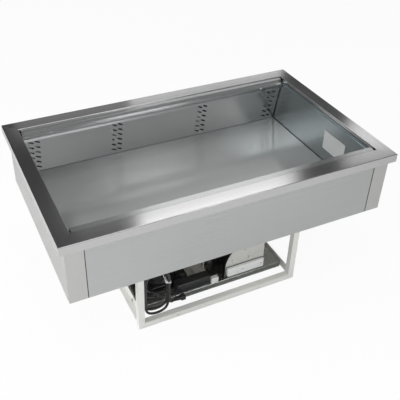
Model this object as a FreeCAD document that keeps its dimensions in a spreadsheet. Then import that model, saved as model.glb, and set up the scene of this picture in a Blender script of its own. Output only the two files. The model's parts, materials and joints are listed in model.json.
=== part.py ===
import FreeCAD, Part
import math
import os
import re

import Sketcher
from FreeCAD import Placement, Rotation, Vector

# Drop-in refrigerated food well, three gastronorm 1/1 pans long.
# Millimetres, +Z up. The origin is on the floor, under the middle of the rim.
# X runs along the well, -Y is the operator's front, +Y the air outlet side.

doc = FreeCAD.newDocument("FoodWell")
sheet = doc.addObject("Spreadsheet::Sheet", "Sizes")
names = []


def put(name, content, note):
    """Write one named cell and its note into the sheet."""
    row = str(len(names) + 1)
    sheet.set("A" + row, note)
    sheet.set("B" + row, content)
    sheet.setAlias("B" + row, name)
    names.append(name)


def derived(note, **formulas):
    """Dimensions that follow from the driving ones."""
    for name, formula in formulas.items():
        put(name, "=" + formula, note)


# Driving dimensions. Every value from here to the loop below goes into the sheet
# under its own name.

before = set(globals()) | {"before"}

# Rim
rim_length = 1100
rim_depth = 674
overall_height = 440
rim_side_width = 45.5
rim_long_width = 50
rim_lip = 28
rim_fold = 10
rim_sheet = 1.5
rim_bend = 2

# Outer body
body_height = 219
skin_inset = 15.5
skin_sheet = 1
skin_return = 55
skin_seam = 0.5

# Tank
tank_sheet = 1.2
tank_side_gap = 2.5
tank_front_gap = 3
tank_back_gap = 18
tank_height = 202

# Air panels
panel_sheet = 1.2
panel_play = 0.5
ledge_drop = 3
back_ledge = 18.5
front_ledge = 22.5
ledge_tail = 9
step_height = 14
step_lean = 1.5
lip_depth = 13
lip_nose = 5
under_rise = 11
under_run = 9
throat_rise = 13
throat_run = 7
panel_foot_back = 29
panel_foot_drop = 3
panel_end_gap = 4

# Air slots
slot_length = 20
slot_width = 6
slot_pitch = 22.6
slot_column_pitch = 21
slot_inner = 167
slot_outer = 462
slot_top = 53
slot_angle = 30

# Rivets in the panel's nose
lip_rivet_pitch = 404
lip_rivet_radius = 1.2
lip_head_radius = 2.2
lip_head = 1.2
lip_rivet_length = 4
rivet_play = 0.2

# Front housing
housing_top = 100
housing_reach = 147
housing_foot = 13
fan_pitch = 290

# Side panels
side_face_gap = 1.5
side_sheet = 1
side_top = 12

# False floor
floor_depth = 187
floor_sheet = 1.2
floor_side_gap = 3
floor_back_gap = 1.6
floor_hem = 5
floor_foot_radius = 9
floor_foot_inset = 60

# Rating plate
plate_length = 140
plate_height = 88
plate_sheet = 0.5
plate_top = 64
plate_near = -28
plate_corner = 3

# Clearance of seated pieces
seat_gap = 0.3

# Drain
drain_radius = 14
drain_wall = 2
drain_flange_radius = 24
drain_flange = 2
drain_reach = 28
drain_x = 300
drain_y = 150
drain_gap = 0.5

# Evaporator
coil_side = 42
coil_end_gap = 67
coil_front_gap = 4
coil_tube_radius = 4.8
coil_tube_pitch = 21
coil_fin = 3
coil_fin_pitch = 40
coil_fin_depth = 3

# Evaporator fans
fan_frame = 119
fan_thickness = 25
fan_bore = 57
fan_corner = 6
fan_tip = 54
fan_hub = 21
fan_hub_depth = 9
fan_shaft = 2
fan_strut = 4
fan_blade_sheet = 1.6
fan_blade_root = 40
fan_blade_tip = 24
fan_blade_length = 10
fan_axle_play = 0.05
fan_frame_wall = 1.5

# Undercarriage
frame_length = 564
frame_depth = 606
frame_offset = -45
tube_side = 20
tube_wall = 1.5
bearer_height = 28
bearer_sheet = 1.5
post_plate_side = 60
post_plate = 3
post_screw_radius = 4
post_screw_head = 3
rail_hole_radius = 2.5
rail_hole_spacing = 298
rail_hole_height = 6

# Base of the condensing unit
base_height = 40
base_flange = 20
base_sheet = 1.5
base_front = 254
base_depth = 414
base_end_gap = 5
base_bend = 2
bolt_radius = 3
bolt_head_radius = 5
bolt_head = 4
bolt_inset = 50
bolt_play = 0.3
bolt_tail = 8

# Compressor
shell_radius = 78
shell_x = -200
shell_y = -132
shell_headroom = 17
shell_lift = 14
shell_seam_share = 0.507
shell_seam_reach = 4
shell_seam = 5
shell_floor_share = 0.12
shell_crown_share = 0.347
shell_dome_share = 0.8
foot_plate = 3
foot_reach = 20
foot_taper = 26
foot_corner = 18
grommet_radius = 11
grommet_bore = 4
foot_inset = 16
terminal_wide = 56
terminal_tall_share = 0.333
terminal_deep = 44
terminal_sunk = 20
terminal_corner = 6

# Relay box
relay_long = 120
relay_tall = 34
relay_deep = 34
relay_corner = 5
relay_x = -112
relay_front_gap = 4

# Condenser
cond_left = 5
cond_right = 150
cond_front = 240
cond_width = 236
cond_headroom = 9
cond_core = 44
cond_sheet = 1.2
cond_fin_pitch = 16
cond_fin_depth = 3
cond_fin = 2.5
cond_edge_radius_share = 0.54
cond_edge_rise_share = 0.2
shroud_left = 34
shroud_margin = 5
shroud_collar = 30
cond_tube_radius = 4.8
cond_tube_pitch_share = 0.1453

# Condenser fan
motor_radius = 34
motor_length = 34
motor_left = -40
blade_tip_gap = 4
blade_hub = 26
blade_hub_length = 28
blade_length = 26
blade_root = 48
blade_tip_angle = 26
blade_sheet = 1.8
blade_x = 4
motor_shaft = 4
motor_socket = 18
motor_round = 5
shaft_play = 0.05
bracket_sheet = 2
bracket_width = 104
bracket_foot = 41
bracket_hole = 9
bracket_tap = 3.5
bracket_tap_in = 5
bracket_tap_step = 12

# Junction cover
cover_left = 8
cover_long = 138
cover_tall = 33
cover_deep = 10
cover_corner = 9
cover_lift = 4
cover_screw_radius = 3.5
cover_hole_share = 0.42
cover_far_hole_share = 0.93

# Connector
link_x = -38
link_long = 26
link_tall = 20
link_deep = 13
link_front_gap = 3
link_round = 2

# Refrigerant lines
line_radius = 4.8
thin_line_radius = 3
line_way_radius = 18
line_way_x = -175
line_way_y = 40
line_step = 30
drier_radius = 12
drier_length = 80
drier_neck = 14
drier_x = 0
drier_y = 70

# Process tube of the compressor
process_radius = 3
process_x = -262
process_top = 64
process_front = 226
process_step = 19
process_ease = 14
process_drop = 17
process_back = 38

# Mains lead
cord_radius = 4
hank_width = 76
hank_bottom = 19
hank_headroom = 25
hank_x = -255
hank_front = 285
hank_step = 9
hank_rise = 10
hank_start_share = 0.426
hank_tail_share = 0.713
inlet_out = 22
inlet_away = 38
inlet_forward = 10
inlet_lift = 8
inlet_lean = 6
inlet_rise_share = 0.636
inlet_straight_share = 0.242
tail_drop_share = 0.66
tail_back_share = 0.45
tail_left = 293.5
tail_sway = 1.2
tail_front = 214
tail_pitch = 56
tail_bend_x = 270
tail_bend_y = 50
plug_lead_run = 48
plug_lead_drop = 7
plug_lead_straight = 18
gland_x = -166
gland_long = 14
gland_tall = 16
gland_deep = 16
gland_height = 34
gland_round = 3
tie_width = 3.6
tie_sheet = 1.4
tie_drop = 50
tie_tail_length = 34
tie_tail_lean = 9
tie_tail_width = 3
tie_head = 7
tie_play = 0.3

# Mains plug
plug_radius = 19
plug_body = 32
plug_nose = 22
plug_nose_radius = 7
pin_radius = 2.4
pin_length = 19
pin_pitch = 19
plug_x = -187
plug_y = 72
plug_round = 4

for name in [word for word in list(globals()) if word not in before]:
    put(name, str(globals()[name]), name.replace("_", " "))

derived("rim", rim_half="rim_length / 2", rim_half_depth="rim_depth / 2",
        opening_half="rim_length / 2 - rim_side_width",
        opening_half_depth="rim_depth / 2 - rim_long_width",
        body_bottom="overall_height - body_height",
        under_rim="overall_height - rim_sheet")
derived("outer body", skin_half="rim_half - skin_inset", skin_half_depth="rim_half_depth - skin_inset")
derived("tank", tank_half="opening_half + tank_side_gap",
        tank_front="-opening_half_depth - tank_front_gap",
        tank_back="opening_half_depth + tank_back_gap",
        tank_floor="overall_height - tank_height")
derived("air panels",
        back_throat="back_ledge - step_lean + lip_depth - under_run - throat_run",
        front_throat="front_ledge - step_lean + lip_depth - under_run - throat_run",
        throat_depth="ledge_drop + step_height + lip_nose + under_rise + throat_rise")
derived("side panels", side_face="opening_half - side_face_gap")
derived("false floor", floor_top="overall_height - floor_depth")
derived("refrigeration", coil_length="(tank_half - coil_end_gap) * 2",
        shell_height="body_bottom - base_height - shell_lift - shell_headroom",
        shell_seam_height="shell_height * shell_seam_share", shell_floor_round="shell_height * shell_floor_share",
        shell_crown="min(shell_height * shell_crown_share; shell_radius * shell_dome_share)",
        foot_long="shell_radius * 2 + foot_reach", foot_wide="foot_long - foot_taper",
        terminal_tall="shell_height * terminal_tall_share",
        cond_height="body_bottom - base_height - cond_headroom",
        cond_edge_radius="cond_height * cond_edge_radius_share",
        cond_tube_pitch="cond_height * cond_tube_pitch_share",
        cond_edge_rise="cond_height * cond_edge_rise_share",
        shroud_hole="cond_height / 2 - shroud_margin", blade_tip="shroud_hole - blade_tip_gap")
derived("mains lead", hank_top="body_bottom - hank_headroom",
        hank_rise_span="hank_top - hank_bottom - hank_width",
        hank_start="hank_bottom + hank_width / 2 + hank_rise_span * hank_start_share",
        hank_tail="hank_rise_span * hank_tail_share", tie_height="hank_top - tie_drop")
derived("undercarriage", frame_left="frame_offset - frame_length / 2",
        frame_right="frame_offset + frame_length / 2", frame_front="-frame_depth / 2",
        frame_back="frame_depth / 2")


# Small helpers, each binding its sizes to the sheet

doc.recompute()
name_pattern = re.compile(r"\b(" + "|".join(sorted(names, key=len, reverse=True)) + r")\b")
pieces = []


def value(text):
    """The value of an expression in the sheet's names."""
    result = sheet.evalExpression(text)
    return float(getattr(result, "Value", result))


def bind(thing, path, text):
    """Bind a property to an expression in the sheet's names."""
    thing.setExpression(path, name_pattern.sub(r"Sizes.\1", text))


def piece(label, thing):
    """Hand a finished object its file name."""
    thing.Label = label
    pieces.append((label, thing))
    return thing


def box(name, x, y, z):
    """A block between (low, high) expressions along each axis."""
    block = doc.addObject("Part::Box", name)
    for side, axis, (low, high) in (("Length", "x", x), ("Width", "y", y), ("Height", "z", z)):
        bind(block, side, "(" + high + ") - (" + low + ")")
        bind(block, "Placement.Base." + axis, low)
    return block


turns = {"x": Rotation(Vector(0, 1, 0), 90), "y": Rotation(Vector(1, 0, 0), -90), "z": Rotation()}


def cylinder(name, radius, axis, low, high, x="0", y="0", z="0"):
    """A round bar along an axis; the place along that axis is (low, high)."""
    bar = doc.addObject("Part::Cylinder", name)
    bar.Placement.Rotation = turns[axis]
    bind(bar, "Radius", radius)
    bind(bar, "Height", "(" + high + ") - (" + low + ")")
    place = {"x": x, "y": y, "z": z}
    place[axis] = low
    for direction, text in place.items():
        if text != "0":
            bind(bar, "Placement.Base." + direction, text)
    return bar


def together(kind, name, things):
    """A Part::MultiFuse or Part::Compound of things."""
    whole = doc.addObject(kind, name)
    if kind == "Part::MultiFuse":
        whole.Shapes = things
    else:
        whole.Links = things
    return whole


def fuse(name, *things):
    return together("Part::MultiFuse", name, list(things))


def group(name, *things):
    return together("Part::Compound", name, list(things))


def cut(name, base, *tools):
    result = doc.addObject("Part::Cut", name)
    result.Base = base
    result.Tool = tools[0] if len(tools) == 1 else group(name + "_tools", *tools)
    return result


# Each plane: the sketch's turn, the letter of the axis along its normal and
# the direction in which a sketch in it is extruded
planes = {"xy": (Rotation(), "z", Vector(0, 0, 1)),
          "xz": (Rotation(Vector(1, 0, 0), 90), "y", Vector(0, 1, 0)),
          "yz": (Rotation(Vector(1, 1, 1), 120), "x", Vector(1, 0, 0))}


def outline(name, plane, points, closed, low="0"):
    """A sketch whose every corner is held by two bound distances."""
    sketch = doc.addObject("Sketcher::SketchObject", name)
    rotation, axis = planes[plane][:2]
    sketch.Placement = Placement(Vector(), rotation)
    if low != "0":
        bind(sketch, "Placement.Base." + axis, low)
    places = [Vector(value(u), value(w), 0) for u, w in points]
    ends = places[1:] + places[:1] if closed else places[1:]
    sketch.addGeometry([Part.LineSegment(a, b) for a, b in zip(places, ends)])
    for index in range(len(ends)):
        following = (index + 1) % len(points)
        if following < len(ends):
            sketch.addConstraint(Sketcher.Constraint("Coincident", index, 2, following, 1))
    for index, (u, w) in enumerate(points):
        line, end = (index, 1) if index < len(ends) else (index - 1, 2)
        for kind, text, number in (("DistanceX", u, places[index].x), ("DistanceY", w, places[index].y)):
            which = sketch.addConstraint(Sketcher.Constraint(kind, -1, 1, line, end, number))
            bind(sketch, "Constraints[" + str(which) + "]", text)
    return sketch


def extrude(name, profile, plane, low, high):
    solid = doc.addObject("Part::Extrusion", name)
    solid.Base = profile
    solid.DirMode = "Custom"
    solid.Dir = planes[plane][2]
    solid.Solid = True
    bind(solid, "LengthFwd", "(" + high + ") - (" + low + ")")
    return solid


def prism(name, plane, points, low, high):
    """A closed outline extruded from low to high."""
    return extrude(name, outline(name + "_outline", plane, points, True, low), plane, low, high)


def folded(name, plane, points, thickness, low, high):
    """A bent sheet: an open line given a thickness on its right side, then extruded.

    An offset line takes either side, depending on how its edges were sorted,
    so the side is tested on the line's first length and turned if it is wrong.
    """
    wall = doc.addObject("Part::Offset2D", name + "_wall")
    wall.Source = outline(name + "_line", plane, points, False, low)
    wall.Mode = "Skin"
    wall.Join = "Intersection"
    wall.Fill = True
    bind(wall, "Value", thickness)
    doc.recompute()
    start, end = (Vector(value(u), value(w), 0) for u, w in points[:2])
    right = (end - start).cross(Vector(0, 0, 1)).normalize()
    near = (start + end) / 2 + right * value(thickness) / 2
    if not wall.Shape.isInside(wall.Source.Placement.multVec(near), abs(value(thickness)) / 4, True):
        bind(wall, "Value", "-(" + thickness + ")")
    return extrude(name, wall, plane, low, high)


def rounded(name, base, radius, picks):
    """Round the edges of a solid that picks accepts."""
    doc.recompute()
    result = doc.addObject("Part::Fillet", name)
    result.Base = base
    size = value(radius)
    result.Edges = [(number, size, size) for number, edge in enumerate(base.Shape.Edges, 1) if picks(edge)]
    return result


def shaped(name, shape):
    """A form that sketches and primitives don't fit, made from the sheet's values."""
    thing = doc.addObject("Part::Feature", name)
    thing.Shape = shape
    return thing


def along(edge, direction):
    """True for a straight edge that runs along a direction."""
    if edge.Curve.TypeId != "Part::GeomLine":
        return False
    return abs(edge.tangentAt(edge.FirstParameter).dot(direction)) > 0.999


X, Y, Z = Vector(1, 0, 0), Vector(0, 1, 0), Vector(0, 0, 1)


# Rim: four folded rails, mitred and welded at the corners. Each has a flat top,
# an outer lip that stands on the worktop and a short fold into the opening.

def rim_rail(label, plane, sign):
    """One rail; plane yz gives the long rails and plane xz the side rails."""
    long_rail = plane == "yz"
    outer = sign + ("rim_half_depth" if long_rail else "rim_half")
    inner = sign + ("opening_half_depth" if long_rail else "opening_half")
    half = "rim_half" if long_rail else "rim_half_depth"
    side = "rim_sheet" if sign == "-" else "-rim_sheet"
    blank = folded(label + "_blank", plane,
                   [(outer, "overall_height - rim_lip"), (outer, "overall_height"),
                    (inner, "overall_height"), (inner, "overall_height - rim_fold")],
                   side, "-" + half, half)
    direction = X if long_rail else Y
    bent = rounded(label + "_bent", blank, "rim_bend",
                   lambda edge: along(edge, direction)
                   and abs(edge.CenterOfMass.z - value("overall_height")) < value("rim_sheet") / 2)
    corners = [("-rim_half", "rim_half_depth"), ("rim_half", "rim_half_depth"),
               ("opening_half", "opening_half_depth"), ("-opening_half", "opening_half_depth")]
    if not long_rail:
        corners = [("rim_half", "-rim_half_depth"), ("rim_half", "rim_half_depth"),
                   ("opening_half", "opening_half_depth"), ("opening_half", "-opening_half_depth")]
    if sign == "-":
        mirrored = 1 if long_rail else 0
        corners = [tuple("-(" + text + ")" if place == mirrored else text
                         for place, text in enumerate(corner)) for corner in corners]
    keep = prism(label + "_mitre", "xy", corners, "overall_height - rim_lip", "overall_height")
    rail = doc.addObject("Part::Common", label + "_rail")
    rail.Base = bent
    rail.Tool = keep
    return piece(label, rail)


rim_rail("rim_front", "yz", "-")
rim_rail("rim_back", "yz", "")
rim_rail("rim_left", "xz", "-")
rim_rail("rim_right", "xz", "")


# Outer body: two side skins that return onto the long faces, and a flat skin
# between the returns on each long face, and a plain bottom sheet.

def side_skin(label, sign):
    turn = "skin_sheet" if sign == "-" else "-skin_sheet"
    reach = sign + "(skin_half - skin_return)"
    face = sign + "skin_half"
    skin = folded(label + "_skin", "xy",
                  [(reach, "-skin_half_depth"), (face, "-skin_half_depth"),
                   (face, "skin_half_depth"), (reach, "skin_half_depth")],
                  turn, "body_bottom", "under_rim")
    return piece(label, skin)


side_skin("skin_left", "-")
side_skin("skin_right", "")
seam = "skin_half - skin_return - skin_seam"
piece("skin_front", box("skin_front_sheet", ("-(" + seam + ")", seam),
                        ("-skin_half_depth", "-skin_half_depth + skin_sheet"), ("body_bottom", "under_rim")))
piece("skin_back", box("skin_back_sheet", ("-(" + seam + ")", seam),
                       ("skin_half_depth - skin_sheet", "skin_half_depth"), ("body_bottom", "under_rim")))

inside_x = ("-(skin_half - skin_sheet)", "skin_half - skin_sheet")
inside_y = ("-(skin_half_depth - skin_sheet)", "skin_half_depth - skin_sheet")
drain_way = cylinder("drain_way", "drain_radius + drain_gap", "z", "0", "overall_height",
                     x="drain_x", y="drain_y")
line_way = cylinder("line_way", "line_way_radius", "z", "0", "overall_height", x="line_way_x", y="line_way_y")
bottom_sheet = box("bottom_sheet", inside_x, inside_y, ("body_bottom", "body_bottom + skin_sheet"))
piece("skin_bottom", cut("skin_bottom_cut", bottom_sheet, drain_way, line_way))


# Tank: a welded tray of stainless sheet inside foamed insulation

tank_outer = box("tank_outer", ("-(tank_half + tank_sheet)", "tank_half + tank_sheet"),
                 ("tank_front - tank_sheet", "tank_back + tank_sheet"), ("tank_floor - tank_sheet", "under_rim"))
tank_inner = box("tank_inner", ("-tank_half", "tank_half"), ("tank_front", "tank_back"),
                 ("tank_floor", "overall_height"))
foam_block = box("foam_block", inside_x, inside_y, ("body_bottom + skin_sheet", "under_rim"))
piece("insulation_foam", cut("foam_cut", foam_block, tank_outer, drain_way, line_way))
piece("tank_liner", cut("tank_cut", tank_outer, tank_inner, drain_way, line_way))

drain_pipe = cylinder("drain_pipe", "drain_radius", "z", "body_bottom - drain_reach",
                      "tank_floor + drain_flange / 2", x="drain_x", y="drain_y")
drain_rim = cylinder("drain_rim", "drain_flange_radius", "z", "tank_floor",
                     "tank_floor + drain_flange", x="drain_x", y="drain_y")
drain_bore = cylinder("drain_bore", "drain_radius - drain_wall", "z", "0", "overall_height",
                      x="drain_x", y="drain_y")
piece("drain_fitting", cut("drain_cut", fuse("drain_solid", drain_pipe, drain_rim), drain_bore))


# Air panels. Both hang inside the opening on a stepped ledge: the step holds
# the rims of the pans, and below its nose the sheet turns back and runs down.

def air_profile(sign, ledge, tail):
    """Corners of a panel's section, stepping in from the opening's edge and down."""
    steps = [("panel_play", "ledge_drop + ledge_tail"), ("panel_play", "ledge_drop"),
             (ledge, "ledge_drop"),
             (ledge + " - step_lean", "ledge_drop + step_height"),
             (ledge + " - step_lean + lip_depth", "ledge_drop + step_height"),
             (ledge + " - step_lean + lip_depth", "ledge_drop + step_height + lip_nose"),
             (ledge + " - step_lean + lip_depth - under_run",
              "ledge_drop + step_height + lip_nose + under_rise"),
             (ledge + " - step_lean + lip_depth - under_run - throat_run", "throat_depth")] + tail
    if sign == "-":
        return [("-opening_half_depth + (" + reach + ")", "overall_height - (" + drop + ")")
                for reach, drop in steps]
    return [("opening_half_depth - (" + reach + ")", "overall_height - (" + drop + ")")
            for reach, drop in steps]


panel_x = ("-(side_face - panel_end_gap)", "side_face - panel_end_gap")
back_foot = [("back_throat - panel_foot_back", "floor_depth + panel_foot_drop")]
back_blank = folded("back_panel_blank", "yz", air_profile("", "back_ledge", back_foot), "-panel_sheet", *panel_x)


def obround(length, width, depth):
    """A bar with round ends lying along X, its middle at the origin, depth along Y."""
    half = (length - width) / 2
    radius = width / 2
    upper = Part.LineSegment(Vector(-half, 0, radius), Vector(half, 0, radius))
    lower = Part.LineSegment(Vector(half, 0, -radius), Vector(-half, 0, -radius))
    right = Part.Arc(Vector(half, 0, radius), Vector(half + radius, 0, 0), Vector(half, 0, -radius))
    left = Part.Arc(Vector(-half, 0, -radius), Vector(-half - radius, 0, 0), Vector(-half, 0, radius))
    wire = Part.Wire([part.toShape() for part in (upper, right, lower, left)])
    return Part.Face(wire).extrude(Vector(0, depth, 0))


def slot_field(name, y_low, y_high, centres):
    """Slanted slots in two columns of six at each of the centres along X."""
    slot = obround(value("slot_length"), value("slot_width"), value(y_high) - value(y_low))
    slot.rotate(Vector(), Y, value("slot_angle"))
    cutters = []
    for centre in centres:
        for column in (-1, 1):
            for row in range(slot_rows):
                cutter = slot.copy()
                cutter.translate(Vector(value(centre) + column * value("slot_column_pitch") / 2, value(y_low),
                                        value("overall_height - slot_top") - row * value("slot_pitch")))
                cutters.append(cutter)
    return shaped(name, Part.makeCompound(cutters))


slot_rows = 6
slot_centres = ("-slot_outer", "-slot_inner", "slot_inner", "slot_outer")
back_slots = slot_field("back_slots", "opening_half_depth - back_ledge", "tank_back", slot_centres)
lip_face = "opening_half_depth - back_ledge + step_lean - lip_depth"
lip_middle = "overall_height - ledge_drop - step_height - lip_nose / 2"
rivet_places = ("-lip_rivet_pitch", "0", "lip_rivet_pitch")
rivet_ways = [cylinder("rivet_way_" + str(index), "lip_rivet_radius + rivet_play", "y", lip_face + " - panel_sheet",
                       lip_face + " + panel_sheet * 2", x=place, z=lip_middle)
              for index, place in enumerate(rivet_places)]
piece("back_air_panel", cut("back_panel_cut", back_blank, back_slots, *rivet_ways))
rivets = []
for index, place in enumerate(rivet_places):
    head = cylinder("lip_head_" + str(index), "lip_head_radius", "y", lip_face + " - lip_head",
                    lip_face, x=place, z=lip_middle)
    stem = cylinder("lip_stem_" + str(index), "lip_rivet_radius", "y", lip_face + " - lip_head / 2",
                    lip_face + " + lip_rivet_length", x=place, z=lip_middle)
    rivets.append(fuse("lip_rivet_" + str(index), head, stem))
piece("lip_rivets", group("lip_rivet_set", *rivets))

front_blank = folded("front_panel_blank", "yz",
                     air_profile("-", "front_ledge",
                                 [("front_throat", "housing_top"),
                                  ("housing_reach", "floor_depth - panel_sheet"),
                                  ("housing_reach + housing_foot", "floor_depth - panel_sheet")]),
                     "panel_sheet", *panel_x)

# The front housing slopes from its top corner to the floor. The fans sit
# under that slope, each turned to face the same way.
slope_run = value("housing_reach - front_throat")
slope_drop = value("floor_depth - panel_sheet - housing_top")
slope_angle = math.degrees(math.atan2(slope_drop, slope_run))
slope_place = Vector(0, value("-opening_half_depth + (front_throat + housing_reach) / 2"),
                     value("overall_height - (housing_top + floor_depth - panel_sheet) / 2"))
slope_turn = Rotation(X, -slope_angle)
under_sheet = -value("panel_sheet")
fan_places = (-1, 0, 1)


def on_slope(shape, place):
    """Carry a shape made about the Z axis to its fan's place under the slope's sheet."""
    hung = Placement(slope_place + X * place * value("fan_pitch"), slope_turn)
    lowered = hung.multiply(Placement(Z * under_sheet, Rotation()))
    shape.Placement = lowered.multiply(shape.Placement)
    return shape


ways = [on_slope(Part.makeCylinder(value("fan_bore - fan_frame_wall"), value("fan_thickness"),
                                   -Z * value("fan_thickness") / 2), place)
        for place in fan_places]
fan_ways = shaped("fan_ways", Part.makeCompound(ways))
piece("front_air_panel", cut("front_panel_cut", front_blank, fan_ways))


# Side panels: shallow trays whose turned edges stand off the tank's walls

def side_panel(label, sign):
    face = ("side_face", "tank_half")
    hollow = ("side_face + side_sheet", "tank_half + side_sheet")
    if sign == "-":
        face = ("-tank_half", "-side_face")
        hollow = ("-tank_half - side_sheet", "-side_face - side_sheet")
    low, high = "tank_front + panel_play", "tank_back - panel_play"
    foot, head = "tank_floor + seat_gap", "overall_height - side_top"
    tray = box(label + "_tray", face, (low, high), (foot, head))
    back = box(label + "_hollow", hollow, (low + " + side_sheet", high + " - side_sheet"),
               (foot + " + side_sheet", head + " - side_sheet"))
    return piece(label, cut(label + "_cut", tray, back))


side_panel("side_panel_left", "-")
side_panel("side_panel_right", "")
plate_y = ("plate_near - plate_length", "plate_near")
plate_z = ("overall_height - plate_top - plate_height", "overall_height - plate_top")
plate_blank = box("plate_blank", ("side_face - plate_sheet", "side_face"), plate_y, plate_z)
piece("rating_plate", rounded("plate_rounded", plate_blank, "plate_corner", lambda edge: along(edge, X)))


# False floor: a polished tray turned upside down on six feet

floor_y = ("-opening_half_depth + housing_reach", "opening_half_depth - back_throat + panel_foot_back - floor_back_gap")
floor_x = ("-(side_face - floor_side_gap)", "side_face - floor_side_gap")
floor_block = box("floor_block", floor_x, floor_y, ("floor_top - floor_hem", "floor_top"))
floor_hollow = box("floor_hollow", (floor_x[0] + " + floor_sheet", floor_x[1] + " - floor_sheet"),
                   (floor_y[0] + " + floor_sheet", floor_y[1] + " - floor_sheet"),
                   ("tank_floor", "floor_top - floor_sheet"))
floor_tray = cut("false_floor_cut", floor_block, floor_hollow)
feet = []
for x in ("-(side_face - floor_foot_inset)", "0", "side_face - floor_foot_inset"):
    for y in (floor_y[0] + " + floor_foot_inset", floor_y[1] + " - floor_foot_inset"):
        feet.append(cylinder("floor_foot_" + str(len(feet)), "floor_foot_radius", "z",
                             "tank_floor", "floor_top - floor_sheet", x=x, y=y))
piece("false_floor", fuse("false_floor_whole", floor_tray, *feet))


# Evaporator: a finned block in the corner of the front housing, with the
# return bends of its tubes at both ends

coil_x = ("-coil_length / 2", "coil_length / 2")
coil_y = ("tank_front + coil_front_gap", "tank_front + coil_front_gap + coil_side")
coil_z = ("tank_floor + seat_gap", "tank_floor + seat_gap + coil_side")
coil_block = box("coil_block", coil_x, coil_y, coil_z)
fin_gaps = []
gap_count = int(value("coil_length") / value("coil_fin_pitch")) - 1
for index in range(gap_count):
    start = value("-coil_length / 2") + (index + 0.5) * value("coil_fin_pitch") + value("coil_fin")
    gap = Part.makeBox(value("coil_fin_pitch - coil_fin"), value("coil_fin_depth") * 2, value("coil_side"),
                       Vector(start, value(coil_y[1]) - value("coil_fin_depth"), value(coil_z[0])))
    fin_gaps.append(gap)
fin_field = shaped("fin_field", Part.makeCompound(fin_gaps))
finned = cut("evaporator_cut", coil_block, fin_field)


def bend_set(name, places, radius, reach, end, outward):
    """Half rings of tube that join pairs of holes one above the other at x = end."""
    rings = []
    for y, z in places:
        ring = Part.makeTorus(reach, radius, Vector(end, y, z), Y)
        half = Part.makeBox(reach * 2, reach * 4, reach * 4,
                            Vector(end if outward > 0 else end - reach * 2, y - reach * 2, z - reach * 2))
        rings.append(ring.common(half))
    return rings


bends = []
coil_row_shares = (0.25, 0.75)
coil_middle_z = value(coil_z[0]) + value("coil_side") / 2
for share in coil_row_shares:
    y = value(coil_y[0]) + share * value("coil_side")
    for outward in (-1, 1):
        bends += bend_set("bend", [(y, coil_middle_z)], value("coil_tube_radius"), value("coil_tube_pitch") / 2,
                          outward * value("coil_length") / 2, outward)
piece("evaporator_coil", fuse("evaporator_whole", finned, shaped("evaporator_bends", Part.makeCompound(bends))))


# Evaporator fans: square frames with a round bore, four struts and a motor hub

def fan_frame():
    side, thick = value("fan_frame"), value("fan_thickness")
    block = Part.makeBox(side, side, thick, Vector(-side / 2, -side / 2, -thick))
    upright = [edge for edge in block.Edges if along(edge, Z)]
    block = block.makeFillet(value("fan_corner"), upright)
    block = block.cut(Part.makeCylinder(value("fan_bore"), thick, -Z * thick))
    hub = Part.makeCylinder(value("fan_hub"), value("fan_hub_depth"), -Z * thick)
    struts = [hub]
    for quarter in range(4):
        strut = Part.makeBox(value("fan_bore - fan_hub") + value("fan_strut"), value("fan_strut"),
                             value("fan_strut"), Vector(value("fan_hub") - value("fan_strut") / 2,
                                                        -value("fan_strut") / 2, -thick))
        strut.rotate(Vector(), Z, 45 + 90 * quarter)
        struts.append(strut)
    whole = block.multiFuse(struts)
    bore = Part.makeCylinder(value("fan_shaft + fan_axle_play"), value("fan_hub_depth - fan_frame_wall"),
                             Z * (value("fan_frame_wall") - thick))
    return whole.cut(bore).removeSplitter()


def blade(root, tip, length, root_angle, tip_angle, thickness):
    """One blade along +X: a thin bowed section lofted with less twist towards the tip."""
    stations = []
    for share in blade_shares:
        reach = root + (tip - root) * share
        angle = root_angle + (tip_angle - root_angle) * share
        chord = length / math.sin(math.radians(root_angle)) * (1 + blade_widening * share)
        chord = min(chord, length / math.sin(math.radians(angle)))
        bow = chord * blade_bow_share
        half = thickness / 2
        low, high = Vector(reach, -chord / 2, 0), Vector(reach, chord / 2, 0)
        upper = Part.Arc(low + Z * half, Vector(reach, 0, bow + half), high + Z * half)
        lower = Part.Arc(high - Z * half, Vector(reach, 0, bow - half), low - Z * half)
        edges = [upper.toShape(), Part.makeLine(high + Z * half, high - Z * half), lower.toShape(),
                 Part.makeLine(low - Z * half, low + Z * half)]
        wire = Part.Wire(edges)
        wire.rotate(Vector(reach, 0, 0), X, angle)
        stations.append(wire)
    return Part.makeLoft(stations, True, True)


blade_shares = (0, 0.5, 1)
blade_bow_share = 0.08
blade_widening = 0.35


def rotor(hub, hub_length, tip, count, root_angle, tip_angle, blade_length, thickness):
    """A hub about +Z with blades round it, its lower face at z = 0."""
    core = Part.makeCylinder(hub, hub_length)
    one = blade(hub - thickness, tip, blade_length, root_angle, tip_angle, thickness)
    one.translate(Z * hub_length / 2)
    blades = []
    for index in range(count):
        copy = one.copy()
        copy.rotate(Vector(), Z, 360 / count * index)
        blades.append(copy)
    return core.multiFuse(blades).removeSplitter()


evaporator_blades = 7
frames = []
for number, place in enumerate(fan_places, 1):
    frames.append(on_slope(fan_frame(), place))
    wheel = rotor(value("fan_hub"), value("fan_thickness - fan_hub_depth - fan_frame_wall * 2"), value("fan_tip"),
                  evaporator_blades, value("fan_blade_root"), value("fan_blade_tip"),
                  value("fan_blade_length"), value("fan_blade_sheet"))
    axle = Part.makeCylinder(value("fan_shaft"), value("fan_hub_depth - fan_frame_wall"),
                             Z * (value("fan_frame_wall * 2 - fan_hub_depth")))
    wheel = wheel.fuse(axle).removeSplitter()
    wheel.translate(Z * (value("fan_hub_depth + fan_frame_wall - fan_thickness")))
    piece("evaporator_fan_rotor_" + str(number), shaped("rotor_" + str(number), on_slope(wheel, place)))
piece("evaporator_fan_frames", shaped("fan_frame_set", Part.makeCompound(frames)))


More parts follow.
